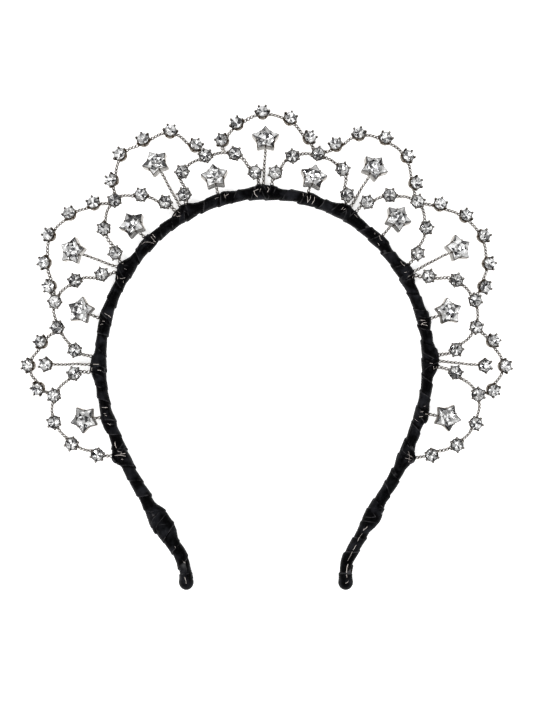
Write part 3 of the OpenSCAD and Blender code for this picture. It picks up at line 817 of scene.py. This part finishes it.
def twisted(flat_path, seed, loose=0.0, slack=0.1, stand=STAND_OFF, pitch=TWIST_PITCH):
    """Two strands twisted about a path: strand k stands off it by r (cos w * side + sin w * front),
    w = 2 pi length / pitch + k pi. The stand-off r opens out by the loose values near the two ends
    and by the slack here and there, where the pitch is longer too. Painted shade sits where the
    strands cross, as 1 - shade sin(w)^4, and on the faces that look down or towards the other strand."""
    path, length = resampled(flat_path, WIRE_STEP)
    side = at_height(left_of(unit(np.gradient(path, axis=0))), 0)
    sway = SWAY * ripple(length * 0.45, 0, seed)
    centre = at_height(path, WIRE_Z + RISE * ripple(length * 0.5, 0, seed + 1)) + side * sway[:, None]
    opened = slack * np.maximum(0, ripple(length * 0.5, 0, seed + 2))
    for wide, distance in zip(np.broadcast_to(loose, 2), (length, length[-1] - length)):
        opened = opened + wide * np.exp(-(distance / PARTED) ** 2)
    pace = pitch * (1 + STRETCHED * np.clip(opened, 0, MOST_OPEN))
    wind = np.concatenate([[0], np.cumsum(2 * np.pi * np.diff(length) / pace[1:])])[:, None]
    aside = np.cos(wind) * side + np.sin(wind) * FRONT
    # Painted shade where the two strands cross
    crossing = np.repeat(1 - CROSSING_SHADE * np.sin(wind[:-1, 0]) ** 4, STRAND_SIDES)
    made = []
    for sign in (1, -1):
        line = centre + (stand + opened)[:, None] * aside * sign
        strand = shaded_by_facing(tube(line, STRAND, STRAND_SIDES), line, STRAND_SIDES, -sign * aside)
        strand["tones"][0] *= crossing
        made.append(strand)
    return joined(made)


def toward_band(turn):
    """Hidden end of a wire inside the leather, under its foot at a turn."""
    spot = foot(turn)
    return spot - unit(spot - HEAD) * ROOTED


# Coil at an outer wire's end: its turns, radius and pitch, and its wire's radius, rings and sides
COIL_TURNS = 2.5
COIL_R = 0.62
COIL_PITCH = 0.52
COIL_WIRE = 0.2
COIL_RINGS, COIL_SIDES = 14, 6


def coil(spot, way, seed):
    """Coil round a wire's own end: spot + way t + radius (cos w * side + sin w * front)."""
    w = np.linspace(0, 2 * np.pi * COIL_TURNS, int(COIL_TURNS * COIL_RINGS))[:, None]
    t = (w / w[-1] - 0.5) * COIL_TURNS * COIL_PITCH
    side, along = at_height(left_of(way), 0), at_height(way, 0)
    radius = COIL_R * (1 + 0.1 * np.sin(w * 0.7 + seed))
    path = at_height(spot, WIRE_Z) + along * t + radius * (np.cos(w) * side + np.sin(w) * FRONT)
    return tube(path, COIL_WIRE, COIL_SIDES, reference=along)


def inner_wires():
    """Inner arches, rooted in the band and a little open at their feet."""
    for k, row in enumerate(INNER, 1):
        path = wire_path(inner_stops(k), toward_band(row[START]), toward_band(row[END]))
        made = twisted(path, INNER_WIRE_SEED + k, loose=0.22, stand=0.44)
        make_piece(f"inner_scallop_{k}", made, [WIRE_SILVER], [f"inner_wire_{k}"], sharp=60)


def outer_wires():
    """Outer arches, each end run on into an inner setting or up to an inner wire, with a coil round it."""
    for k in range(1, len(OUTER) + 1):
        stops, under_start, under_end = outer_stops(k)
        first, last = stops[0], stops[-1]
        path = wire_path(stops, first + (under_start - first) * TUCKED, last + (under_end - last) * TUCKED)
        coils = [coil(first, way_at(stops, 0), k), coil(last, way_at(stops, len(stops) - 1), k + 9)]
        made = joined([twisted(path, OUTER_WIRE_SEED + k)] + coils)
        make_piece(f"outer_scallop_{k}", made, [WIRE_SILVER], [f"outer_wire_{k}"], sharp=60)


# Star's girdle over the wires, how far past the hub its middle shows, and how far short of the hub
# the stem of a round crystal ends
STAR_GIRDLE_Z = 3.4
STAR_AHEAD = 0.7
STEM_SHORT = 1.6


def star_back(row):
    """How far short of the hub a leaning star stands, so that its girdle's middle shows STAR_AHEAD
    past the hub."""
    return STAR_GIRDLE_Z * np.sin(np.radians(STAR_LEAN * row[LEANING])) - STAR_AHEAD


def stems():
    """Straight twisted stems, opened into a small loop where they leave the band."""
    rows = [(row, star_back(row)) for row in INNER]
    rows += [(row, star_back(row) if k in STAR_ROWS else STEM_SHORT) for k, row in enumerate(OUTER, 1)]
    made = []
    for i, (row, short) in enumerate(rows):
        start, hub = toward_band(row[STEM_TURN]), place(row[HUB_TURN], row[HUB_REACH])
        end = hub - unit(hub - start) * short
        path = np.array([start, (start + end) / 2, end])
        made.append(twisted(path, STEM_SEED + i, loose=(0.12, 0), slack=0.05, stand=0.39, pitch=3.1))
    make_piece("twisted_stems", joined(made), [WIRE_SILVER], ["star_stems"], sharp=60)


# Round crystals

# Width, the girdle's height over the wires and its thickness, the crown's and the pavilion's height,
# the prongs and facets round it, and the tone of the seat's ring, painted dark as shade
STONE = 4.45
GIRDLE_Z = 2.5
GIRDLE_H = 0.2
CROWN_H = 0.55
PAVILION_H = 1.3
PRONGS = 6
FACETS = 8
SEAT_SHADE = 0.12
# Size of a round crystal in its setting against the solids, and how far ahead of its wire it shows
SHOWN_SIZE = 1.08
SHOWN_AHEAD = 0.18
# Degrees by which hand work leaves the leans and the turns uneven
LEAN_LOOSE, SPIN_LOOSE = 2, 30
INNER_SEED, OUTER_SEED, STAR_SEED = 400, 500, 640


def backed(cut, tones):
    """Cut crystal whose last sets of faces, one for each tone, are the foil behind the clear glass."""
    for k, tone in enumerate(tones, len(cut["faces"]) - len(tones)):
        cut["materials"][k][:] = 1
        cut["tones"][k][:] = tone
    return cut


def round_crystal():
    """Brilliant cut: table, stars, kites and upper halves over a 16-sided girdle, and mains and lower
    halves under it, with the painted shade of the seat round them. Each ring of corners is a share of the
    girdle's radius, at a height, with a count and a turn in steps."""
    top = GIRDLE_Z + GIRDLE_H
    levels = [
        (0.54, top + CROWN_H, FACETS, 0), (0.78, top + CROWN_H * 0.56, FACETS, 0.5),
        (1, top, 2 * FACETS, 0), (1, GIRDLE_Z, 2 * FACETS, 0),
        (0.86, GIRDLE_Z - PAVILION_H * 0.15, 2 * FACETS, 0),
        (0.42, GIRDLE_Z - PAVILION_H * 0.62, FACETS, 0.5), (0, GIRDLE_Z - PAVILION_H, 1, 0),
    ]
    rings = []
    for share, z, count, turn in levels:
        a = (np.arange(count) + turn) * 2 * np.pi / count
        rings.append(stacked(STONE / 2 * share * np.cos(a), STONE / 2 * share * np.sin(a), z))
    table, kite, edge, under, seat, lower, culet = np.cumsum([0] + [len(r) for r in rings[:-1]])
    i = np.arange(FACETS)
    j, h = (i + 1) % FACETS, (i - 1) % FACETS
    n = np.arange(2 * FACETS)
    m = (n + 1) % (2 * FACETS)
    crown = [
        (table + i)[None],
        stacked(table + i, kite + i, table + j),
        stacked(table + i, kite + h, edge + 2 * i, kite + i),
        stacked(kite + i, edge + 2 * i, edge + 2 * i + 1),
        stacked(kite + i, edge + 2 * i + 1, edge + 2 * j),
        stacked(edge + n, under + n, under + m, edge + m),
    ]
    pavilion = [
        stacked(under + n, seat + n, seat + m, under + m),
        stacked(seat + 2 * i, lower + i, seat + 2 * i + 1),
        stacked(seat + 2 * i + 1, lower + i, seat + 2 * j),
        stacked(seat + 2 * i, lower + h, culet, lower + i),
    ]
    return backed(shape(np.concatenate(rings), crown + pavilion), [SEAT_SHADE, 1, 1, 1])


# Cup's wall, from the back's middle round the rim to the seat's middle: radius, height, and tone,
# a painted shade that is darkest over the rim
CUP_WALL = np.array([
    [1.2, -0.75, 0.3], [1.65, -0.7, 0.4], [1.94, -0.5, 0.5], [2.06, -0.1, 0.65], [2.02, 0.45, 0.35],
    [2.1, 0.8, 0.65], [2.25, 1.2, 0.75], [2.39, 1.7, 0.65], [2.48, 2.15, 0.4], [2.5, 2.42, 0.15],
    [2.43, 2.5, 0.1], [2.35, 2.4, 0.2], [2.32, 1.9, 0.5], [1.9, 1.5, 0.5], [1.2, 0.95, 0.5],
])
# Prong's middle line: radius and height, then its thickness and its tone from there on, a painted
# shade that is lightest near the top as a painted highlight
PRONG_LINE = np.array([
    [2.22, 0.7, 0.24, 0.3], [2.43, 1.3, 0.32, 0.2], [2.53, 1.9, 0.38, 0.2], [2.58, 2.25, 0.43, 0.25],
    [2.6, 2.5, 0.48, 0.3], [2.53, 2.76, 0.49, 0.5], [2.38, 2.9, 0.45, 0.5], [2.19, 2.94, 0.33, 0.3],
    [2.05, 2.88, 0.13, 0.3],
])
# Depth of the rim's dips between the prongs, and the heights over which they grow
RIM_DIP, DIP_FROM, DIP_TO = 0.75, 1.2, 2.4
CUP_SIDES = 48
CLAW_SIDES = 8
# Darkest painted shade on a claw's sides
CLAW_DARKEST_SHADE = 0.05


def claws(line, turns, past=0.0, flat=1.0, low=0.4):
    """Claws at turns round the axis, in radians: each is a bar along a line's radii, measured from
    `past`, and heights, as thick as the line says there, with painted shade as its tone says and
    on the faces that look aside or down."""
    made = []
    for turn in turns:
        out = np.array([np.cos(turn), np.sin(turn), 0])
        path = (past + line[:, :1]) * out + line[:, 1:2] * FRONT
        claw = tube(path, line[:, 2], CLAW_SIDES, reference=np.cross(FRONT, out), flat=flat)
        shaded_by_facing(claw, path, CLAW_SIDES, low=low, deep=CLAW_DARKEST_SHADE)
        claw["tones"][0] *= np.repeat(line[:-1, 3], CLAW_SIDES)
        made.append(claw)
    return made


def round_setting():
    """Six-prong cup: a turned wall whose rim dips between the prongs as |cos(3 a)|, and six prongs
    that rise along it and close over the girdle. Tones paint shade, darker inside and under the claws."""
    a = circle(CUP_SIDES)[None]
    radius, z = CUP_WALL.T[:2, :, None]
    dip = RIM_DIP * np.abs(np.cos(PRONGS / 2 * a)) * ramp(z, DIP_FROM, DIP_TO)
    cup = skin(stacked(radius * np.cos(a), radius * np.sin(a), z - dip))
    # Painted shade along the wall, row by row
    cup["tones"][0][:] = np.repeat(CUP_WALL[:-1, 2], CUP_SIDES)
    return joined([cup] + claws(PRONG_LINE, circle(PRONGS, np.pi / PRONGS)))


def crystal_spots(stops, lean):
    """Places, ways and leans of the crystals threaded between the ends of a wire."""
    ways = [left_of(way_at(stops, i)) for i in range(1, len(stops) - 1)]
    return list(stops[1:-1]), ways, [lean] * len(ways)


def set_crystals(name, node, spots, ways, leans, seed):
    """Settings and crystals at a scallop's spots, each spun and leaned a little as made by hand."""
    rng = np.random.default_rng(seed)
    count = len(spots)
    leans = np.array(leans) + rng.uniform(-LEAN_LOOSE, LEAN_LOOSE, count)
    spins = rng.uniform(-SPIN_LOOSE, SPIN_LOOSE, count)
    turned = spins + rng.uniform(0, 360 / FACETS, count)
    ways = unit(np.array(ways))
    spots = np.array(spots) + ways * SHOWN_AHEAD
    setting, stone = round_setting(), round_crystal()
    cups = copies(setting, seated(setting["points"] * SHOWN_SIZE, spots, ways, leans, spins))
    stones = copies(stone, seated(stone["points"] * SHOWN_SIZE, spots, ways, leans, turned), tone_seed=seed)
    make_piece(f"{name}_settings", cups, [SETTING_SILVER], [node], sharp=55)
    make_piece(f"{name}_stones", stones, [CRYSTAL, FOIL], [node])


def round_crystals():
    """Round crystals on every scallop, and on the stems that have no star."""
    for k in range(1, len(INNER) + 1):
        spots, ways, leans = crystal_spots(inner_stops(k), INNER_LEAN)
        set_crystals(f"inner_round_{k}", f"inner_crystals_{k}", spots, ways, leans, INNER_SEED + k)
    for k, row in enumerate(OUTER, 1):
        spots, ways, leans = crystal_spots(outer_stops(k)[0], OUTER_LEAN)
        if k not in STAR_ROWS:
            hub = place(row[HUB_TURN], row[HUB_REACH])
            spots.append(hub)
            ways.append(hub - foot(row[STEM_TURN]))
            leans.append(STAR_LEAN * row[LEANING])
        set_crystals(f"outer_round_{k}", f"outer_crystals_{k}", spots, ways, leans, OUTER_SEED + k)


# Star crystals

# Reach of a tip and of a dent, the corners round it, the tone of the foil's painted glints out in
# the arms and the step in which the outline is walked
STAR_R = 5.25
STAR_DENT = 0.63 * STAR_R
STAR_CORNERS = 10
ARM_TONE = 0.85
OUTLINE_STEP = 0.01


def star_corners(tip, dent):
    """Ten corners of a five-pointed star, tip first along +Y, counter-clockwise."""
    turn = np.arange(STAR_CORNERS) * 2 * np.pi / STAR_CORNERS
    reach = np.where(np.arange(STAR_CORNERS) % 2 == 0, tip, dent)
    return stacked(-np.sin(turn) * reach, np.cos(turn) * reach)


def star_loop(tip, dent, count, soft):
    """Star outline with rounded tips and dents: the straight one is walked at an even pace, and each
    point is averaged with `soft` neighbours on both sides."""
    corners = star_corners(tip, dent)
    path, _ = resampled(np.concatenate([corners, corners[:1]]), OUTLINE_STEP)
    loop = path[np.linspace(0, len(path) - 1, count, endpoint=False).astype(int)]
    return sum(np.roll(loop, k, axis=0) for k in range(-soft, soft + 1)) / (2 * soft + 1)


def star_crystal():
    """Star cut: a bevel round the outline, roof-shaped arms up to a ten-sided table, and a foil
    pavilion that steps in by two rings of breaks to its point, its painted glints lightest next to
    the girdle. Each level is the reach of its tips and of its dents, and its height."""
    top = STAR_GIRDLE_Z + GIRDLE_H
    levels = [
        (1.62, 1.5, top + 0.55), (0.8 * STAR_R, 0.78 * STAR_DENT, top + 0.32), (STAR_R, STAR_DENT, top),
        (STAR_R, STAR_DENT, STAR_GIRDLE_Z), (0.6 * STAR_R, 0.7 * STAR_DENT, STAR_GIRDLE_Z - 1.0),
        (0.3 * STAR_R, 0.4 * STAR_DENT, STAR_GIRDLE_Z - 1.6), (0, 0, STAR_GIRDLE_Z - 2.1),
    ]
    rings = [at_height(star_corners(tip, dent), z) for tip, dent, z in levels]
    points = np.concatenate(rings)[:1 - STAR_CORNERS]
    i = np.arange(STAR_CORNERS)
    j = (i + 1) % STAR_CORNERS
    tip_first = (i % 2 == 0)[:, None]
    faces = [i[None]]
    for a in range(0, (len(levels) - 2) * STAR_CORNERS, STAR_CORNERS):
        b = a + STAR_CORNERS
        faces.append(np.where(tip_first, stacked(a + i, b + i, a + j), stacked(a + i, b + i, b + j)))
        faces.append(np.where(tip_first, stacked(a + j, b + i, b + j), stacked(a + i, b + j, a + j)))
    last = len(points) - 1 - STAR_CORNERS
    faces.append(stacked(last + i, len(points) - 1, last + j))
    return backed(shape(points, faces), [1, 1, ARM_TONE, ARM_TONE, ARM_TONE])


# Star tray's wall, from the back's middle over the rim to the seat: growth past the crystal,
# height, how many times the outline is smoothed there, and the tone from there on, painted light
# and shade: lightest on the outer wall, darkest over the rim and in the gap at the crystal
TRAY_WALL = [
    (-1.5, 0.6, 4, 0.3), (-0.1, 0.6, 4, 0.4), (0.35, 0.68, 4, 0.55), (0.62, 0.9, 3, 0.75),
    (0.72, 1.3, 3, 0.9), (0.66, 2.0, 2, 0.9), (0.52, 2.8, 1, 0.7), (0.46, 3.3, 1, 0.25),
    (0.4, 3.48, 1, 0.1), (0.27, 3.54, 1, 0.05), (0.14, 3.48, 1, 0.2), (0.08, 3.2, 1, 0.6),
    (0.08, 2.2, 1, 0.8), (-0.4, 1.4, 2, 0.6), (-1.6, 1.1, 2, 0.6),
]
TRAY_SIDES = 120
TIP_GROWS, DENT_GROWS = 1.2, 0.65
# Claw's middle line: distance out from a dent and height, then its thickness and its tone, a
# painted shade that is lightest near the top as a painted highlight
CLAW_LINE = np.array([
    [0.3, 1.2, 0.22, 0.3], [0.34, 2.2, 0.27, 0.25], [0.36, 3.1, 0.31, 0.25], [0.33, 3.55, 0.35, 0.35],
    [0.18, 3.84, 0.36, 0.55], [-0.04, 3.9, 0.3, 0.4], [-0.24, 3.84, 0.14, 0.3],
])


def star_setting():
    """Star-shaped tray: its wall follows the crystal's outline at each height, rounder towards the
    back, with a claw in each dent that rises outside the wall and closes over the edge."""
    tray = skin(np.array([
        at_height(star_loop(STAR_R + TIP_GROWS * g, STAR_DENT + DENT_GROWS * g, TRAY_SIDES, soft), z)
        for g, z, soft, _ in TRAY_WALL]))
    # Painted light and shade along the wall, row by row
    tray["tones"][0][:] = np.repeat([row[-1] for row in TRAY_WALL[:-1]], TRAY_SIDES)
    dents = np.radians(126 + 72 * np.arange(5))
    return joined([tray] + claws(CLAW_LINE, dents, past=STAR_DENT, flat=1.15, low=0.45))


def star_crystals():
    """Trays and stars, each turned to its tip's own angle and leaned towards its stem's heading."""
    setting, stone = star_setting(), star_crystal()
    stars = [("inner", k, row) for k, row in enumerate(INNER, 1)]
    stars += [("outer", k, OUTER[k - 1]) for k in STAR_ROWS]
    for i, (side, k, row) in enumerate(stars):
        hub = place(row[HUB_TURN], row[HUB_REACH])
        way = unit(hub - foot(row[STEM_TURN]))
        spin = np.degrees(np.arctan2(way[0], way[1])) - row[STAR_TIP]
        seat = (hub - way * star_back(row), way, STAR_LEAN * row[LEANING], spin)
        tray = copies(setting, seated(setting["points"], *seat))
        cut = copies(stone, seated(stone["points"], *seat), tone_seed=STAR_SEED + i)
        make_piece(f"{side}_star_{k}_tray", tray, [TRAY_SILVER],
                   [f"{side}_star_setting_{k}"], sharp=50)
        make_piece(f"{side}_star_{k}_stone", cut, [CRYSTAL, FOIL], [f"{side}_star_stone_{k}"])


# Fine wires on the leather: how wide each one looks, then the turn from the crown and the distance
# outward from the band's middle line of each point that it passes
THREADS = {
    "silver_lashings": [
        [0.26, 14.0, 1.3, 14.4, 0.2, 14.8, -1.4], [0.28, 15.0, 1.6, 15.3, 0.5, 14.9, -0.9],
        [0.3, 16.4, 1.7, 16.7, 0.3, 16.3, -1.5], [0.22, 12.6, 1.7, 12.9, 0.7],
        [0.22, -12.5, 1.8, -12.5, 0.0], [0.24, -11.2, 1.5, -12.4, 0.7], [0.14, -15.8, 0.9, -14.5, 1.2],
        [0.26, 40.6, 1.7, 41.7, 1.1, 42.5, 1.2], [0.22, 39.0, 1.5, 39.3, 0.8],
        [0.16, 42.0, -0.8, 43.0, -1.1], [0.28, -1.5, 1.6, -3.0, 0.9, -2.8, -0.4, -2.0, -1.8],
        [0.24, -0.8, 2.1, -1.2, 0.5], [0.26, 1.2, 2.6, 1.8, 1.6, 1.2, 0.4],
        [0.16, -44.0, 1.6, -42.8, 1.4, -41.6, -0.1, -41.0, -1.7], [0.2, -39.2, 1.6, -39.3, -0.6],
        [0.22, -40.1, 1.4, -40.3, -1.7], [0.26, -70.2, 1.2, -70.6, -0.3, -71.1, -1.9],
        [0.24, -73.1, 1.1, -72.9, 0.1], [0.26, -74.4, 1.6, -74.0, 0.6], [0.44, -88.0, 2.6, -88.0, 0.4],
        [0.22, -90.0, 0.9, -90.2, -0.7], [0.3, -103.0, 1.2, -103.5, -0.9], [0.22, -105.2, 1.0, -105.5, 0.4],
        [0.22, -106.0, 0.8, -106.3, 0.1], [0.2, -108.8, 1.0, -109.8, -0.3],
        [0.2, 72.4, -1.4, 72.9, 1.0], [0.28, 74.0, -1.4, 73.5, -0.1, 73.7, 1.2],
        [0.28, 73.9, -0.8, 74.8, 1.1],
        [0.24, 105.0, -0.6, 104.5, 0.7], [0.16, 102.8, 0.1, 102.6, 0.8], [0.26, 106.8, -0.5, 106.2, 0.9],
        [0.26, 105.2, 1.7, 105.0, 2.8], [0.16, 107.9, -2.0, 108.5, -0.2], [0.2, 87.6, 0.4, 87.7, 1.6],
        [0.3, -115.8, 0.8, -118.0, 1.2], [0.26, -118.9, 1.4, -120.0, -0.1, -120.7, 0.7],
        [0.3, -120.1, 3.2, -120.7, 1.1, -121.9, -1.4], [0.26, -120.6, 0.6, -120.9, -1.9],
        [0.26, -122.2, 1.1, -122.5, 0.5], [0.2, 120.4, 0.8, 120.7, 3.2], [0.2, 121.9, 0.6, 121.6, 3.3],
        [0.16, 119.2, 0.4, 121.0, 2.0, 123.0, 2.6],
        [0.26, 25.9, 0.9, 26.1, 2.3], [0.24, 26.5, 1.5, 27.0, 2.2], [0.16, 30.1, 2.0, 31.6, 1.8],
        [0.2, 51.5, 1.6, 53.6, 2.0], [0.22, 55.3, 0.7, 55.6, 1.3], [0.24, 57.1, 0.8, 57.1, 2.0],
        [0.22, 57.7, 2.9, 58.3, 2.3], [0.26, 88.6, 2.1, 89.7, 2.1], [0.24, 89.4, 3.0, 88.7, 3.4],
        [0.22, -30.3, 1.8, -29.0, 2.4], [0.18, -29.5, 1.2, -28.1, 0.3], [0.18, -28.4, 2.9, -27.9, 1.5],
        [0.32, -57.0, 2.2, -58.0, 1.5], [0.22, -57.4, 0.9, -56.4, -1.3], [0.18, -57.6, -0.8, -58.2, -1.4],
        [0.16, -53.9, 1.2, -53.6, 0.4], [0.22, -52.9, 3.3, -52.4, 2.6], [0.26, -89.0, 3.2, -90.3, 3.2],
    ],
    "silver_stitches": [
        [0.28, 146.4, 0.2, 148.0, -0.4], [0.14, 148.8, -0.2, 151.2, -0.3], [0.28, 152.1, 0.1, 153.5, -0.1],
        [0.16, 153.9, 0.0, 156.2, 0.1], [0.32, 156.7, 0.3, 157.9, 0.3], [0.24, 158.1, 0.4, 158.4, 0.4],
        [0.28, 158.7, 1.1, 158.9, 0.0], [0.3, -159.4, 0.3, -160.1, 0.0], [0.18, -153.2, 0.0, -153.7, -0.2],
        [0.22, -157.1, -0.3, -157.5, -0.7],
    ],
}


# A fine wire's radius against the width that it looks, its height over the band, how deep its ends
# dive, how much it rises and sways, the most of the half width that it reaches, and its sides
THREAD_SHARE, THREAD_HIGH, THREAD_DIVE = 0.32, 0.66, 0.5
THREAD_RISE, THREAD_SWAY = 0.06, 0.1
THREAD_LIMIT = 0.97
THREAD_SIDES = 6


def thread(row, seed):
    """Fine wire over the front of the leather through a row's points. At a distance x outward from
    the middle line its angle is acos(x / half width), and its ends dive into the leather."""
    wide, turns, across = row[0], row[1::2], row[2::2]
    u = np.linspace(0, 1, 12 * len(turns))
    knots = np.linspace(0, 1, len(turns))
    length = length_at(np.interp(u, knots, turns))
    lift = THREAD_HIGH + THREAD_RISE * np.sin(7 * u + seed) - THREAD_DIVE * np.abs(2 * u - 1) ** 8
    half = read_along(HALF_WIDE, length) + read_along(SWELLS[0], length) + lift
    aside = np.interp(u, knots, across) + THREAD_SWAY * np.sin(5 * u + 2 * seed)
    angle = np.arccos(np.clip(aside / half, -THREAD_LIMIT, THREAD_LIMIT))
    return tube(band_skin(length, angle, lift), wide * THREAD_SHARE, THREAD_SIDES)


def threads():
    """Lashings and stitches, one piece for each set of fine wires."""
    for name, rows in THREADS.items():
        made = joined(thread(row, i) for i, row in enumerate(rows))
        make_piece(name, made, [LASHING_SILVER], sharp=60)


# Leather cord's loop under the last knot on each side: the knot's turn, the loop's reach past the
# band's line, its radius on the right and on the left and its shares of that across and along the
# band, the cord's radius, rings and sides, and its height over the wires
LOOP_TURN = 120.4
LOOP_OUT = 3.2
LOOP_SIZES = ((1, 1.35), (-1, 1.2))
LOOP_ACROSS, LOOP_ALONG = 0.8, 1.25
LOOP_CORD = 0.5
LOOP_RINGS, LOOP_SIDES = 40, 10
LOOP_HIGH, LOOP_TILT = 1.5, 0.5


def leather_loops():
    """Small loop of leather cord at the outer side under the last knot on each side, where the wire
    end is drawn in: a ring of radius r about a point on the outer face, longer along the band."""
    made = []
    a = circle(LOOP_RINGS)[:, None]
    for sign, size in LOOP_SIZES:
        spot = place(sign * (LOOP_TURN + 0.6), curve(BAND_LINE, REACH, LOOP_TURN) + LOOP_OUT)
        out = unit(spot - HEAD)
        flat = spot + size * (LOOP_ACROSS * np.cos(a) * out - LOOP_ALONG * np.sin(a) * left_of(out))
        path = at_height(flat, WIRE_Z + LOOP_HIGH + LOOP_TILT * np.cos(a[:, 0] + 0.6))
        made.append(tube(path, LOOP_CORD, LOOP_SIDES, closed=True))
    make_piece("leather_loops", joined(made), [LEATHER], sharp=60)


# Studio

# Camera's height over the wires, the height and the middle of what it sees, its film's height, and
# half the floor's width
CAMERA_HIGH = 1400.0
VIEW_TALL = 284.4
VIEW_MIDDLE = (0.0, -3.4)
FILM = 36.0
FLOOR_HALF = 3000.0
# Studio lights, in metres and watts: place, size and power
LIGHTS = {
    "key": ((-0.55, 0.5, 0.85), (0.25, 0.25), 4.2),
    "fill": ((0.7, -0.1, 0.75), (0.2, 0.35), 2.6),
    "low_back": ((0.0, -0.8, 0.6), (0.4, 0.14), 2.0),
    "side": ((-0.75, -0.35, 0.7), (0.18, 0.18), 1.4),
}


def camera():
    """Camera straight over the part, as the photo looks at its front."""
    data = bpy.data.cameras.new("camera")
    data.sensor_fit = "VERTICAL"
    data.sensor_height = FILM
    data.lens = FILM * CAMERA_HIGH / VIEW_TALL
    data.clip_start = 0.01
    eye = bpy.data.objects.new("camera", data)
    eye.location = (VIEW_MIDDLE[0] * MM, VIEW_MIDDLE[1] * MM, (CAMERA_HIGH + WIRE_Z) * MM)
    bpy.context.scene.collection.objects.link(eye)
    bpy.context.scene.camera = eye


def soft_box(name, spot, size, power):
    """Rectangular light at a spot, facing the middle of the part."""
    data = bpy.data.lights.new(name, "AREA")
    data.shape = "RECTANGLE"
    data.size, data.size_y = size
    data.energy = power
    lamp = bpy.data.objects.new(name, data)
    x, y, z = spot
    lamp.rotation_euler = (np.arctan2(np.hypot(x, y), z), 0.0, np.arctan2(-y, -x) + 1.5 * np.pi)
    lamp.location = spot
    bpy.context.scene.collection.objects.link(lamp)


def pale_floor():
    """Flat floor under the part."""
    mesh = bpy.data.meshes.new("floor")
    half = FLOOR_HALF * MM
    mesh.from_pydata([(-half, -half, 0), (half, -half, 0), (half, half, 0), (-half, half, 0)], [],
                     [(0, 1, 2, 3)])
    mesh.materials.append(floor_finish())
    floor = bpy.data.objects.new("floor", mesh)
    bpy.context.scene.collection.objects.link(floor)


def room():
    """Dark room with pale patches and a dim ceiling, which the facets and the metal mirror, while
    the camera sees an even pale grey."""
    world = bpy.data.worlds.new("room")
    bpy.context.scene.world = world
    world.use_nodes = True
    nodes = Nodes(world.node_tree)
    sight = nodes.add("ShaderNodeTexCoord").outputs["Generated"]
    height = nodes.add("ShaderNodeSeparateXYZ", {"Vector": sight}).outputs["Z"]
    patches = nodes.spread(nodes.noise(sight, 3.6, detail=1.0), 0.41, 0.47)
    walls = nodes.maths("MULTIPLY", patches, nodes.spread(height, 0.9, 0.97, 1.0, 0.15))
    lit = nodes.between(walls, (0.03, 0.032, 0.036, 1), (1.3, 1.3, 1.3, 1))
    seen = nodes.add("ShaderNodeLightPath").outputs["Is Camera Ray"]
    nodes.feed(world.node_tree.nodes["Background"], Color=nodes.between(seen, lit, (0.9, 0.9, 0.9, 1)))
    bpy.context.scene.view_settings.view_transform = "Standard"


camera()
pale_floor()
for name, light in LIGHTS.items():
    soft_box(name, *light)
room()
leather_band()
inner_wires()
outer_wires()
stems()
round_crystals()
star_crystals()
threads()
leather_loops()
